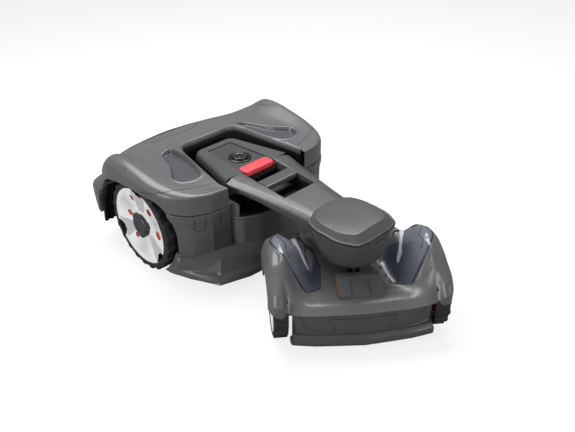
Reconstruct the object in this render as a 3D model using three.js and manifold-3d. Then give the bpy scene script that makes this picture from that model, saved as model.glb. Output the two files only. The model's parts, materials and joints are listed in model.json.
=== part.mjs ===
// Robotic lawn mower with a steered front body.
// Lengths are in millimetres. The mower faces -Y, +X is its left side, +Z is up, z = 0 is the lawn.
// The rear axle is the base of all lengthways sizes; the frame's origin lies under the mower's middle.

import * as THREE from 'three';
import { mergeVertices } from 'three/addons/utils/BufferGeometryUtils.js';
import Module from 'manifold-3d';

const wasm = await Module();
wasm.setup();

// Driving sizes of the whole mower
const body_half_width = 277;
const rear_reach = 243;
const front_face_lead = 190;
const crest_height = 283;
const moulded_wall = 3.2;
const seat_gap = 0.35;
const running_gap = 1.5;
const cut_overrun = 6;

// Heights of the rear body, as shares of the crest
const belt_share = 0.7067;
const belt_height = crest_height * belt_share;
const belt_groove = 3;
const body_floor_share = 0.46;
const body_floor = belt_height * body_floor_share;
const belly_floor_share = 0.305;
const belly_floor = belt_height * belly_floor_share;
const bay_roof_share = 0.79;
const bay_roof = belt_height * bay_roof_share;
const recess_rim_share = 0.83;
const recess_rim = belt_height * recess_rim_share;
const console_share = 0.8693;
const console_height = crest_height * console_share;

// The frame's origin lies under the middle of the mower's length
const origin_share = 1.1574;
const frame_origin_lead = front_face_lead * origin_share;

// Rear wheels
const rear_wheel_share = 0.4205;
const rear_wheel_radius = crest_height * rear_wheel_share;
const rear_wheel_width = 46;
const rear_wheel_inset = 13.5;
const rear_wheel_outer_plane = body_half_width - rear_wheel_inset;
const rear_arch_gap = 11;
const wheel_inner_plane = rear_wheel_outer_plane - rear_wheel_width;
const arch_inner_plane = wheel_inner_plane - rear_arch_gap / 2;
const hub_motor_length = 59.5;
const motor_inner_plane = wheel_inner_plane - hub_motor_length;

// Wheel details, shared by all four wheels
const lug_height = 5;
const lug_length = 11;
const lug_setback = 4;
const rear_lug_count = 22;
const front_lug_count = 16;
const tyre_section_share = 0.152;
const disc_wall = 4;
const disc_dish = 9;
const rim_gap = 2;
const insert_thickness = 3;
const hub_cap_height = 11;
const hub_cap_share = 0.28;
const axle_radius = 7;
const hub_motor_share = 0.319;
const hub_motor_radius = rear_wheel_radius * hub_motor_share;

// Gap round the console, and the console
const gap_front_share = 0.9;
const gap_front_lead = front_face_lead * gap_front_share;
const gap_rear_width_share = 0.3285;
const gap_rear_half_width = body_half_width * gap_rear_width_share;
const gap_front_width_share = 0.473;
const gap_front_half_width = body_half_width * gap_front_width_share;
const gap_rear_reach = 45;
const gap_corner_radius = 26;
const console_gap = 24;

// Arm, carry bar and head
const recess_share = 0.7895;
const recess_lead = front_face_lead * recess_share;
const seam_step = 2;
const seam_lead = recess_lead + seam_step;
const stop_overhang = 11;
const stop_front_lead = seam_lead + stop_overhang;
const opening_rear_lead = stop_front_lead + seam_step;
const rear_opening_length = 39;
const bar_rear_lead = opening_rear_lead + rear_opening_length;
const bar_length = 36;
const bar_front_lead = bar_rear_lead + bar_length;
const front_opening_length = 57;
const opening_front_lead = bar_front_lead + front_opening_length;
const steer_axis_share = 2.4105;
const steer_axis_lead = front_face_lead * steer_axis_share;
const steer_angle = 37.8 * Math.PI / 180;
const arm_root_half_width = gap_front_half_width - console_gap - 1;
const arm_drop = 17;
const arm_lip_depth = 48;
const opening_half_width = 51;
const bar_thickness = 15;
const tub_depth = 46;
const head_cap_half_width = 86;
const head_drop = 8;
const head_height = console_height - head_drop;
const bowl_floor_share = 0.5691;
const bowl_floor_height = console_height * bowl_floor_share;
const bowl_radius = 60;

// Front body and its wheels: heights as shares of the bowl's, lengths as shares of the bumper's lead
const bumper_share = 0.9474;
const bumper_lead = front_face_lead * bumper_share;
const front_wheel_share = 0.5357;
const front_wheel_radius = bowl_floor_height * front_wheel_share;
const front_wheel_width = 34;
const front_shell_width_share = 1.1167;
const front_shell_half_width = bumper_lead * front_shell_width_share;
const front_wheel_inset = 8.5;
const front_wheel_outer_plane = front_shell_half_width - front_wheel_inset;
const front_axle_share = 0.42;
const front_axle_lead = bumper_lead * front_axle_share;
const front_shell_share = 1.3714;
const front_shell_height = bowl_floor_height * front_shell_share;
const shell_low_share = 0.6857;
const shell_low = bowl_floor_height * shell_low_share;

// Cutting deck
const cutter_share = 0.4947;
const cutter_lead = front_face_lead * cutter_share;
const cutter_radius_share = 0.579;
const cutter_radius = front_face_lead * cutter_radius_share;
const blade_overhang = 28;
const cutting_disc_radius = cutter_radius - blade_overhang;
const cutting_height = 30;
const blade_length = 38;
const blade_width = 19;
const blade_thickness = 1.2;
const blade_count = 3;
const skid_radius = 62;

// Materials: one for each finish of the real mower
const finish = (color, roughness, metalness = 0) =>
  new THREE.MeshStandardMaterial({ color, roughness, metalness });
const cover_grey = finish(0x77787a, 0.48);
const body_grey = finish(0x6c6d6f, 0.5);
const arm_grey = finish(0x717274, 0.45);
const panel_grey = finish(0x555658, 0.55);
const bumper_grey = finish(0x525355, 0.6);
const black_plastic = finish(0x1d1e20, 0.6);
const tyre_rubber = finish(0x2e2e30, 0.85);
const silver_disc = finish(0xe2e3e6, 0.35, 0.4);
const orange_plastic = finish(0xe0602a, 0.5);
const cap_plastic = finish(0x33373a, 0.4);
const stop_red = finish(0xf9474f, 0.5);
const smoke_lens = finish(0x70727a, 0.15);
const clear_guide = finish(0xdcdde0, 0.2);
const copper = finish(0xb87a4a, 0.35, 0.9);
const steel = finish(0x9a9ca0, 0.35, 0.9);
const board_green = finish(0x2c6b3c, 0.6);
const battery_blue = finish(0x3a4250, 0.6);

// Solid helpers: a closed geometry becomes a solid for joining and cutting, and back again

function toSolid(geometry) {
  const bare = geometry.clone();
  bare.deleteAttribute('normal');
  bare.deleteAttribute('uv');
  const welded = mergeVertices(bare, 1e-4);
  return new wasm.Manifold(new wasm.Mesh({
    numProp: 3,
    vertProperties: new Float32Array(welded.attributes.position.array),
    triVerts: new Uint32Array(welded.index.array),
  }));
}

function toGeometry(solid) {
  const source = solid.getMesh();
  const geometry = new THREE.BufferGeometry();
  geometry.setAttribute('position', new THREE.BufferAttribute(source.vertProperties, 3));
  geometry.setIndex(new THREE.BufferAttribute(source.triVerts, 1));
  return geometry;
}

const join = (first, ...others) =>
  toGeometry(others.reduce((sum, other) => sum.add(toSolid(other)), toSolid(first)));
const cut = (first, ...others) =>
  toGeometry(others.reduce((rest, other) => rest.subtract(toSolid(other)), toSolid(first)));
const common = (first, ...others) =>
  toGeometry(others.reduce((both, other) => both.intersect(toSolid(other)), toSolid(first)));

function moved(geometry, x = 0, y = 0, z = 0) {
  return geometry.clone().translate(x, y, z);
}

// A copy on the other side of the mid-plane, with its faces turned back outwards
function mirrored(geometry) {
  const copy = geometry.index ? geometry.clone() : mergeVertices(geometry.clone());
  copy.scale(-1, 1, 1);
  const corners = copy.index.array;
  for (let i = 0; i < corners.length; i += 3) {
    [corners[i], corners[i + 1]] = [corners[i + 1], corners[i]];
  }
  return copy;
}

// A half outline in the plan, completed with its mirror image across the mid-plane
function bothSides(half) {
  const other = half.filter(([x]) => x > 0).map(([x, y]) => [-x, y]).reverse();
  return half.concat(other);
}

// A plan outline with every corner rounded by an arc of the given radius
function roundedShape(points, radius, steps = 4) {
  const shape = new THREE.Shape();
  const corner = points.map(([x, y]) => new THREE.Vector2(x, y));
  const count = corner.length;
  for (let i = 0; i < count; i += 1) {
    const here = corner[i];
    const before = corner[(i + count - 1) % count];
    const after = corner[(i + 1) % count];
    const reach = Math.min(radius, 0.45 * here.distanceTo(before), 0.45 * here.distanceTo(after));
    const start = here.clone().add(before.clone().sub(here).setLength(reach));
    const end = here.clone().add(after.clone().sub(here).setLength(reach));
    for (let k = 0; k <= steps; k += 1) {
      const t = k / steps;
      const x = (1 - t) ** 2 * start.x + 2 * t * (1 - t) * here.x + t ** 2 * end.x;
      const y = (1 - t) ** 2 * start.y + 2 * t * (1 - t) * here.y + t ** 2 * end.y;
      if (i === 0 && k === 0) shape.moveTo(x, y);
      else shape.lineTo(x, y);
    }
  }
  return shape;
}

// A slab of a plan outline from one height to another
function slab(shape, low, high) {
  return new THREE.ExtrudeGeometry(shape, { depth: high - low, bevelEnabled: false })
    .translate(0, 0, low);
}

function box(x0, x1, y0, y1, z0, z1) {
  return new THREE.BoxGeometry(x1 - x0, y1 - y0, z1 - z0)
    .translate((x0 + x1) / 2, (y0 + y1) / 2, (z0 + z1) / 2);
}

// A round bar along Z, or along X after turning
function drum(radius, low, high, sides = 24) {
  return new THREE.CylinderGeometry(radius, radius, high - low, sides)
    .rotateX(Math.PI / 2).translate(0, 0, (low + high) / 2);
}

function acrossDrum(radius, x0, x1, sides = 24) {
  return drum(radius, x0, x1, sides).rotateY(Math.PI / 2);
}

// A body of revolution round Z from [radius, height] pairs that start and end on the axis
function revolved(profile, sides = 32) {
  const points = profile.map(([radius, height]) => new THREE.Vector2(radius, height));
  const geometry = new THREE.LatheGeometry(points, sides).rotateX(Math.PI / 2);
  return toSolid(geometry).volume() < 0 ? turnedOut(geometry) : geometry;
}

// A solid skinned over rings that all have the same number of points, closed by two end caps
function loft(rings) {
  const count = rings[0].length;
  const positions = rings.flat(2);
  const faces = [];
  for (let r = 0; r + 1 < rings.length; r += 1) {
    for (let i = 0; i < count; i += 1) {
      const a = r * count + i;
      const b = r * count + (i + 1) % count;
      faces.push(a, b, b + count, a, b + count, a + count);
    }
  }
  const caps = [[0, true], [rings.length - 1, false]];
  for (const [row, flipped] of caps) {
    const ring = rings[row];
    const middle = [0, 1, 2].map((k) => ring.reduce((sum, p) => sum + p[k], 0) / count);
    const hub = positions.length / 3;
    positions.push(...middle);
    for (let i = 0; i < count; i += 1) {
      const a = row * count + i;
      const b = row * count + (i + 1) % count;
      if (flipped) faces.push(hub, b, a);
      else faces.push(hub, a, b);
    }
  }
  const geometry = new THREE.BufferGeometry();
  geometry.setAttribute('position', new THREE.Float32BufferAttribute(positions, 3));
  geometry.setIndex(faces);
  return toSolid(geometry).volume() < 0 ? turnedOut(geometry) : geometry;
}

function turnedOut(geometry) {
  const corners = geometry.index.array;
  for (let i = 0; i < corners.length; i += 3) {
    [corners[i], corners[i + 1]] = [corners[i + 1], corners[i]];
  }
  return geometry;
}

const mix = (a, b, t) => a + (b - a) * t;

// Plan of the rear body: each row is one station from the front corner round to the middle of the rear
// Columns: way along the gap's side, share of the gap's half width, shares of half width and reach
const station_shares = [
  [0.00, 1.00, 0.460, -0.995],
  [0.03, 1.00, 0.640, -0.960],
  [0.08, 1.00, 0.800, -0.842],
  [0.16, 1.00, 0.906, -0.620],
  [0.28, 1.00, 0.970, -0.316],
  [0.46, 1.00, 0.990, 0.000],
  [0.66, 1.00, 1.000, 0.250],
  [0.84, 1.00, 0.990, 0.450],
  [0.95, 0.97, 0.925, 0.640],
  [1.00, 0.80, 0.760, 0.800],
  [1.00, 0.45, 0.430, 0.930],
  [1.00, 0.00, 0.000, 0.985],
];

// Heights of the cover at the same stations, as shares of the crest: gap rim, channel, crest, shoulder
const height_shares = [
  [0.890, 0.887, 0.887, 0.878],
  [0.892, 0.888, 0.887, 0.876],
  [0.895, 0.890, 0.890, 0.872],
  [0.900, 0.896, 0.905, 0.876],
  [0.904, 0.900, 0.933, 0.893],
  [0.908, 0.897, 0.970, 0.915],
  [0.915, 0.890, 1.000, 0.930],
  [0.926, 0.885, 0.990, 0.910],
  [0.930, 0.885, 0.890, 0.765],
  [0.933, 0.900, 0.815, 0.725],
  [0.933, 0.915, 0.790, 0.735],
  [0.933, 0.925, 0.775, 0.730],
];

// Across the cover: share of the way from gap to side, and how its height mixes the four heights above
const across_shares = [
  { way: 0.03, from: 0, to: 0, blend: 0 },
  { way: 0.28, from: 0, to: 1, blend: 1 },
  { way: 0.52, from: 1, to: 2, blend: 0.18 },
  { way: 0.70, from: 1, to: 2, blend: 0.72 },
  { way: 0.84, from: 2, to: 2, blend: 0 },
  { way: 0.93, from: 2, to: 3, blend: 0.38 },
  { way: 0.985, from: 2, to: 3, blend: 1 },
];

// The gap's edge in the plan, and the body's outside, at one station
function gapPoint([along, lateral], inset = 0) {
  const x = (mix(gap_front_half_width, gap_rear_half_width, along) - inset) * lateral;
  return [x, mix(-gap_front_lead, gap_rear_reach - inset, along)];
}

const planPoint = (x_share, y_share) =>
  [x_share * body_half_width, y_share * (y_share < 0 ? front_face_lead : rear_reach)];

function sidePoint([, , x_share, y_share], inset = 0) {
  const [x, y] = planPoint(x_share, y_share);
  const reach = Math.hypot(x, y);
  return [x * (1 - inset / reach), y * (1 - inset / reach)];
}

// One cross-section of the cover: up the gap wall, over the crest and down the side to the belt
function coverSection(station, heights, wall, low) {
  const inner = gapPoint(station, -wall);
  const outer = sidePoint(station, wall);
  const top = (share) => share * crest_height - wall;
  const at = (way, z) => [mix(inner[0], outer[0], way), mix(inner[1], outer[1], way), z];
  const rim_drop = 0.02 * crest_height;
  const over = across_shares.map(({ way, from, to, blend }) =>
    at(way, top(mix(heights[from], heights[to], blend))));
  const flank = mix(top(heights[3]), low, 0.3);
  return [at(0, low), at(0, top(heights[0]) - rim_drop), ...over, at(1, flank), at(1, low)];
}

const cover_steps = 18;

// Smooth curves run through the stations, so that each section point has a line round the whole cover
function coverSolid(wall, low, end_wall) {
  const half = station_shares.map((row, i) => coverSection(row, height_shares[i], wall, low));
  half[0] = half[0].map((p, i) => p.map((v, k) => mix(v, half[1][i][k], end_wall / 50)));
  const other = half.slice(0, -1).reverse().map((ring) => ring.map(([x, y, z]) => [-x, y, z]));
  const whole = half.concat(other);
  const lines = whole[0].map((_, i) => {
    const points = whole.map((ring) => new THREE.Vector3(...ring[i]));
    return new THREE.CatmullRomCurve3(points, false, 'catmullrom', 0.4);
  });
  const steps = cover_steps;
  const rings = [];
  for (let k = 0; k <= steps; k += 1) {
    rings.push(lines.map((line) => line.getPoint(k / steps).toArray()));
  }
  return loft(rings);
}

// The arch over a rear wheel, seen from the side: close in front, wide behind
const arch_side_shares = [
  [-1.10, -1.10], [-1.10, 0.20], [-1.00, 0.62], [-0.78, 0.86], [-0.40, 0.94],
  [0.30, 0.95], [0.86, 0.82], [1.22, 0.45], [1.40, -0.10], [1.42, -1.10],
];

function archProfile(grow) {
  const size = rear_wheel_radius + grow;
  const points = arch_side_shares.map(([y, z]) => [-z * size, y * size]);
  return roundedShape(points, 0.3 * size, 1);
}

function archCut(grow, x0, x1) {
  return new THREE.ExtrudeGeometry(archProfile(grow), { depth: x1 - x0, bevelEnabled: false })
    .rotateY(Math.PI / 2).translate(x0, 0, rear_wheel_radius);
}

// Pockets in the cover, beside the gap
const pocket_shares = [
  [0.397, 0.245], [0.500, 0.240], [0.596, -0.105], [0.722, -0.380], [0.704, -0.516],
  [0.596, -0.580], [0.487, -0.547], [0.426, -0.316], [0.390, 0.000],
];
const pocket_floor_share = 0.868;
const pocket_corner_share = 0.05;

// A plan outline pushed outwards from its middle by a wall's thickness
function grown(points, grow) {
  const middle = [0, 1].map((k) => points.reduce((sum, p) => sum + p[k], 0) / points.length);
  return points.map((p) => {
    const reach = Math.hypot(p[0] - middle[0], p[1] - middle[1]);
    return p.map((v, k) => middle[k] + (v - middle[k]) * (reach + grow) / reach);
  });
}

function pocketSolid(grow) {
  const points = grown(pocket_shares.map(([x, y]) => planPoint(x, y)), grow);
  const shape = roundedShape(points, pocket_corner_share * body_half_width, 2);
  return slab(shape, pocket_floor_share * crest_height - grow, crest_height + cut_overrun);
}

function topCover() {
  const low = belt_height + belt_groove;
  const outside = coverSolid(0, low, 0);
  const inside = coverSolid(moulded_wall, low - cut_overrun, moulded_wall * 2);
  const floor = pocketSolid(moulded_wall);
  const hollow = cut(inside, floor, mirrored(floor));
  const pocket = pocketSolid(0);
  const arch = archCut(0, arch_inner_plane, body_half_width + cut_overrun);
  const sweep_end = rear_wheel_outer_plane + running_gap * 3;
  const sweep = acrossDrum(rear_wheel_radius + running_gap * 2, arch_inner_plane, sweep_end, 32)
    .translate(0, 0, rear_wheel_radius);
  return cut(outside, hollow, pocket, mirrored(pocket), arch, mirrored(arch), sweep, mirrored(sweep));
}

// Rear body: the lower housing, from the belt down to the skirt, with the recess under the arm's root
const front_wall_shares = [[0.00, 1.235], [0.22, 1.195], [0.375, 1.095], [0.405, 1.01], [0.43, 0.965]];
const body_taper_share = 0.985;
const flare_height_share = 0.62;
const low_flare_share = 0.95;
const lip_share = 0.993;
const cutter_bay_gap = 10;
const belly_share = 0.722;
const belly_half_width = body_half_width * belly_share;
const belly_rear_share = 0.97;

// The rear corner stands out below the belt: shares of half width and of reach at the last five stations
const flare_shares = [[1.003, 0.500], [0.995, 0.735], [0.905, 0.900], [0.470, 1.010], [0.000, 1.040]];

// The half outline of the rear body in the plan, from the middle of its front to the middle of its back
function bodyOutline(width_share, flare) {
  const front = front_wall_shares.map(([x, y]) => [x * body_half_width, -y * front_face_lead]);
  const first_flared = station_shares.length - flare_shares.length;
  const side = station_shares.map((row, i) => {
    const plain = sidePoint(row);
    const flared = i < first_flared ? plain : planPoint(...flare_shares[i - first_flared]);
    return plain.map((v, k) => mix(v, flared[k], flare));
  });
  return front.concat(side).map(([x, y]) => [x * width_share, y]);
}

// The hollow that holds the battery and the board, open above under the cover
const tray_past_motor = 32;
const tray_half_width = motor_inner_plane + tray_past_motor;
const tray_wall = 4;
const tray_front_share = 0.6737;
const tray_front_lead = front_face_lead * tray_front_share;
const tray_rear_share = 0.86;
const tray_corner_share = 0.55;
const tray_back_share = 0.7;
const screw_offset = 62;
const screw_radius = 5;

function trayHollow() {
  const y1 = rear_reach * tray_rear_share;
  const w = tray_half_width;
  const right_side = [[-w * tray_back_share, y1], [-w, y1 * tray_corner_share], [-w, -tray_front_lead]];
  const outline = right_side.concat(right_side.map(([px, py]) => [-px, py]).reverse());
  const plan = new THREE.Shape(outline.map(([px, py]) => new THREE.Vector2(px, py)));
  const upper = slab(plan, body_floor + tray_wall, belt_height + cut_overrun);
  const bay_wall_radius = cutter_radius + cutter_bay_gap + tray_wall;
  const bay_wall = moved(drum(bay_wall_radius, 0, bay_roof + tray_wall, 28), 0, -cutter_lead);
  const y0 = cutter_radius + cutter_bay_gap + tray_wall * 2 - cutter_lead;
  const x = belly_half_width * 0.9;
  const lower_plan = roundedShape([[-x, y0], [x, y0], [x, y1], [-x, y1]], x * 0.2, 3);
  const lower = slab(lower_plan, belly_floor + tray_wall, body_floor + tray_wall + cut_overrun);
  const r = hub_motor_radius + tray_wall;
  const boss = box(motor_inner_plane - tray_wall, body_half_width, -r, r, 0, rear_wheel_radius + r);
  return cut(join(upper, lower), bay_wall, boss, mirrored(boss));
}

function rearBody() {
  const ring = (share, flare, z) => bothSides(bodyOutline(share, flare)).map(([x, y]) => [x, y, z]);
  const lip = (z) => ring(1, 0, z).map(([x, y]) => [x * lip_share, y * lip_share, z]);
  const shell = loft([
    ring(body_taper_share, low_flare_share, body_floor),
    ring(body_taper_share, 1, mix(body_floor, belt_height, flare_height_share)),
    ring(1, 0, belt_height - belt_groove * 3),
    ring(1, 0, belt_height),
    lip(belt_height),
    lip(belt_height + belt_groove - seat_gap),
  ]);
  const belly = slab(roundedShape([
    [-belly_half_width, -cutter_lead], [belly_half_width, -cutter_lead],
    [belly_half_width, rear_reach * belly_rear_share], [-belly_half_width, rear_reach * belly_rear_share],
  ], belly_half_width * 0.2), belly_floor, body_floor + cut_overrun);
  const arch = archCut(0, arch_inner_plane, body_half_width + cut_overrun * 2);
  const recess = box(-gap_front_half_width + console_gap, gap_front_half_width - console_gap,
    -front_face_lead * 2, -recess_lead, recess_rim, belt_height + cut_overrun);
  const cutter_bay = moved(drum(cutter_radius + cutter_bay_gap, 0, bay_roof, 28), 0, -cutter_lead);
  const seat = acrossDrum(hub_motor_radius + seat_gap, motor_inner_plane, body_half_width, 14)
    .translate(0, 0, rear_wheel_radius);
  const screw_bore = moved(
    drum(screw_radius + seat_gap, bay_roof - cut_overrun, belt_height, 16), screw_offset, -cutter_lead);
  const solid = cut(join(shell, belly), arch, mirrored(arch), recess, cutter_bay);
  return cut(solid, trayHollow(), seat, mirrored(seat), screw_bore);
}

// Skirt round the cutting deck: half outlines at its hem, its ledge and its top, from the front middle
const skirt_hem_shares = [
  [0.00, 1.36], [0.22, 1.36], [0.45, 1.335], [0.725, 1.21],
  [0.85, 0.84], [0.92, 0.55], [0.93, 0.33],
];
const skirt_ledge_shares = [
  [0.00, 1.285], [0.20, 1.26], [0.36, 1.20], [0.625, 1.07],
  [0.81, 0.79], [0.885, 0.62], [0.90, 0.33],
];
const skirt_top_shares = [
  [0.00, 1.230], [0.22, 1.185], [0.37, 1.10], [0.55, 0.985],
  [0.77, 0.85], [0.875, 0.65], [0.90, 0.33],
];
const hem_share = 0.3044;
const skirt_hem = body_floor * hem_share;
const ledge_share = 0.837;
const skirt_ledge = body_floor * ledge_share;
const step_share = 0.5653;
const skirt_step = body_floor * step_share;
const skirt_middle_share = 0.55;
const skirt_wall = 4;
const notch_half_width = 90;
const notch_height = 15;

function skirtSolid(wall, rear_push) {
  const ring = (shares, z) => bothSides(shares.map(([x, y], i) => {
    const back = i === shares.length - 1 ? rear_push : 0;
    return [Math.max(x * body_half_width - wall, 0), -y * front_face_lead + wall + back];
  })).map(([x, y]) => [x, y, z]);
  const between = skirt_hem_shares.map((row, i) =>
    row.map((v, k) => mix(v, skirt_ledge_shares[i][k], skirt_middle_share)));
  const low = wall > 0 ? skirt_hem - cut_overrun : skirt_hem;
  return loft([
    ring(skirt_hem_shares, low),
    ring(between, skirt_step),
    ring(skirt_ledge_shares, skirt_ledge),
    ring(skirt_top_shares, body_floor - seat_gap + (wall > 0 ? cut_overrun : 0)),
  ]);
}

function deckSkirt() {
  const arch_end = body_half_width + cut_overrun * 2;
  const arch_start = wheel_inner_plane - rear_arch_gap;
  const arch = acrossDrum(rear_wheel_radius + rear_arch_gap / 2, arch_start, arch_end, 28)
    .translate(0, 0, rear_wheel_radius);
  const notch = box(-notch_half_width, notch_half_width, -front_face_lead * 1.5, -front_face_lead,
    skirt_hem - cut_overrun, skirt_hem + notch_height);
  return cut(skirtSolid(0, 0), skirtSolid(skirt_wall, cut_overrun), arch, mirrored(arch), notch);
}

// Belly pan under the rear housing, behind the cutter
const pan_thickness = 3;

function bellyPan() {
  const inset = moulded_wall;
  const shape = roundedShape([
    [-belly_half_width + inset, -cutter_lead + inset], [belly_half_width - inset, -cutter_lead + inset],
    [belly_half_width - inset, rear_reach * belly_rear_share - inset],
    [-belly_half_width + inset, rear_reach * belly_rear_share - inset],
  ], belly_half_width * 0.2);
  const pan = slab(shape, belly_floor - seat_gap - pan_thickness, belly_floor - seat_gap);
  const bay = moved(drum(cutter_radius + cutter_bay_gap, 0, bay_roof, 28), 0, -cutter_lead);
  return cut(pan, bay);
}

// Arch liner: a black panel with ribs that run round the back of the wheel, down to a pointed tip
const liner_thickness = 5;
const liner_groove = 3;
const liner_groove_count = 3;
const liner_front_share = 0.5714;
const liner_front = rear_wheel_radius * liner_front_share;
const liner_tip_share = 0.521;
const liner_tip_height = rear_wheel_radius * liner_tip_share;
const liner_side_inset = 10;

function archLiner() {
  const x0 = arch_inner_plane + seat_gap;
  const x1 = body_half_width - liner_side_inset;
  const pitch = (x1 - x0) / (2 * liner_groove_count + 1);
  const sheet = cut(archCut(-seat_gap, x0, x1),
    archCut(-seat_gap - liner_thickness, x0 - cut_overrun, x1 + cut_overrun));
  const grooves = [];
  for (let k = 0; k < liner_groove_count; k += 1) {
    const x = x0 + pitch * (2 * k + 1);
    grooves.push(archCut(-seat_gap - liner_thickness + liner_groove, x, x + pitch));
  }
  const ahead = box(
    0, body_half_width, -rear_wheel_radius * 2, liner_front, -rear_wheel_radius, crest_height);
  const below = box(0, body_half_width, 0, rear_wheel_radius * 2, -rear_wheel_radius, liner_tip_height);
  return cut(sheet, ...grooves, ahead, below);
}

// Console housing, open below, with the sunk panel on top and a tongue under the stop button
const console_low = belt_height + belt_groove;
const console_rear_share = 0.70;
const console_edge_drop = 20;
const console_edge_height = console_height - console_edge_drop;
const console_top_inset = 11;
const panel_depth = 5;
const panel_thickness = 3;
const panel_front_half_width = 50;
const panel_rear_half_width = 38;
const panel_rear_lead = 2;
const dial_offset = 68;
const dial_lead = seam_lead - dial_offset;
const panel_corner_radius = 6;
const stop_margin = 3;
const dial_radius = 29;
const dial_ring_width = 7;
const dial_height = 7;
const stop_length = 33;
const stop_half_width = 46;
const stop_height = 12;
const stop_travel = 4;
const tongue_side_gap = 1;
const deck_overlap = 1;
const stop_corner_radius = 9;
const stop_edge_height = 2;
const stop_roll_height = 4.5;
const stop_crown_height = 5.5;

function consoleOutline(inset, rear_inset = inset) {
  const rear_x = gap_rear_half_width * console_rear_share - inset;
  const rear_y = gap_rear_reach - console_gap * 0.75 - rear_inset;
  const front_x = gap_front_half_width - console_gap - inset;
  const front_y = -seam_lead + seat_gap;
  return [[-front_x, front_y], [front_x, front_y], [rear_x, rear_y], [-rear_x, rear_y]];
}

const panelOutline = (grow) => [
  [-panel_front_half_width - grow, -stop_front_lead + stop_length + stop_margin - grow],
  [panel_front_half_width + grow, -stop_front_lead + stop_length + stop_margin - grow],
  [panel_rear_half_width + grow, -panel_rear_lead + grow],
  [-panel_rear_half_width - grow, -panel_rear_lead + grow],
];

function consoleSolid(wall, low) {
  const corner = gap_corner_radius;
  const ring = (inset, z) => roundedShape(consoleOutline(inset + wall, inset + wall), corner - inset, 2)
    .getPoints().map(({ x, y }) => [x, y, z]);
  return loft([
    ring(0, low),
    ring(0, console_edge_height - wall),
    ring(console_top_inset * 0.35, mix(console_edge_height, console_height, 0.65) - wall),
    ring(console_top_inset, console_height - wall),
  ]);
}

const stop_rear_lead = stop_front_lead - stop_length;
const panel_top = console_height - panel_depth + panel_thickness;

function consoleHousing() {
  const body = consoleSolid(0, console_low);
  const sunk_floor = console_height - panel_depth;
  const tongue_x = opening_half_width - tongue_side_gap;
  const tongue = join(
    box(-tongue_x, tongue_x, -opening_rear_lead, -seam_lead + cut_overrun, console_low, sunk_floor),
    box(-tongue_x, tongue_x, -opening_rear_lead, -recess_lead - seat_gap,
      recess_rim + moulded_wall, sunk_floor),
  );
  const hollow = consoleSolid(moulded_wall, belt_height - cut_overrun);
  const sunk_plan = roundedShape(panelOutline(seat_gap), panel_corner_radius, 2);
  const sunk = slab(sunk_plan, console_height - panel_depth, console_height * 1.1);
  const deck_top = console_height - moulded_wall + deck_overlap;
  const deck = slab(roundedShape(panelOutline(moulded_wall * 2), panel_corner_radius, 1),
    console_height - panel_depth - moulded_wall * 1.5, deck_top);
  const front_deck = box(-tongue_x, tongue_x, -seam_lead + moulded_wall / 2,
    -stop_rear_lead + moulded_wall * 2, panel_top - stop_height - moulded_wall, deck_top);
  const seat_x = stop_half_width + seat_gap;
  const seat = box(-seat_x, seat_x, -opening_rear_lead - cut_overrun, -stop_rear_lead + seat_gap,
    panel_top + seat_gap - stop_height, console_height * 1.1);
  const bore = moved(drum(dial_radius * 0.33, belt_height, console_height * 1.1, 14), 0, -dial_lead);
  return cut(join(cut(body, cut(hollow, deck, front_deck)), tongue), sunk, seat, bore);
}

function controlPanel() {
  const plan = roundedShape(panelOutline(0), panel_corner_radius, 2);
  const plate = slab(plan, panel_top - panel_thickness + seat_gap, panel_top);
  return cut(plate, moved(drum(dial_radius + seat_gap * 2, 0, console_height * 2, 20), 0, -dial_lead));
}

const dial_seat = console_height - panel_depth + seat_gap;
const dial_bore_radius = dial_radius * 0.33;

function dialRing() {
  return revolved([
    [dial_radius - dial_ring_width, dial_seat], [dial_radius, dial_seat],
    [dial_radius, panel_top + dial_height * 0.3],
    [dial_radius - dial_ring_width * 0.3, panel_top + dial_height * 0.45],
    [dial_radius - dial_ring_width, panel_top + dial_height * 0.3],
    [dial_radius - dial_ring_width, dial_seat],
  ], 20);
}

const dial_press = 1.5;
const dial_shaft_radius = 5;
const knob_roll = 3;
const knob_dip = 0.6;

// The shaft is pressed with the knob; the knob also turns on it
function dialShaft() {
  const foot = drum(dial_bore_radius - running_gap, dial_seat - panel_depth * 3, dial_seat + dial_press, 14);
  return join(foot, drum(dial_shaft_radius, dial_seat, dial_seat + dial_press + dial_height * 0.6, 12));
}

function dialKnob() {
  const r = dial_radius - dial_ring_width - running_gap * 0.5;
  const low = dial_seat + dial_press + seat_gap;
  const high = panel_top + dial_height;
  const bore = dial_shaft_radius + seat_gap;
  const knob = revolved([
    [0, low], [r, low], [r, high - knob_roll], [r * 0.9, high - knob_roll / 3], [r * 0.7, high],
    [0, high - knob_dip],
  ], 20);
  const socket_top = dial_seat + dial_press + dial_height * 0.6 + seat_gap;
  const socket = drum(bore, low - cut_overrun, socket_top, 12);
  return moved(cut(knob, socket), 0, -dial_lead);
}

function stopButton() {
  const x = stop_half_width;
  const [y0, y1] = [-stop_front_lead, -stop_rear_lead];
  const corners = [[-x, y0], [x, y0], [x, y1], [-x, y1]];
  const plan = roundedShape(corners, stop_corner_radius, 4).getPoints();
  const low = panel_top + seat_gap * 2 - stop_height + stop_travel;
  const middle = -(stop_front_lead + stop_rear_lead) / 2;
  const ring = (share_x, share_y, z) =>
    plan.map((p) => [p.x * share_x, middle + (p.y - middle) * share_y, z]);
  return loft([
    ring(1, 1, low), ring(1, 1, panel_top + stop_edge_height),
    ring(0.97, 0.93, panel_top + stop_roll_height), ring(0.9, 0.75, panel_top + stop_crown_height),
  ]);
}

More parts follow.
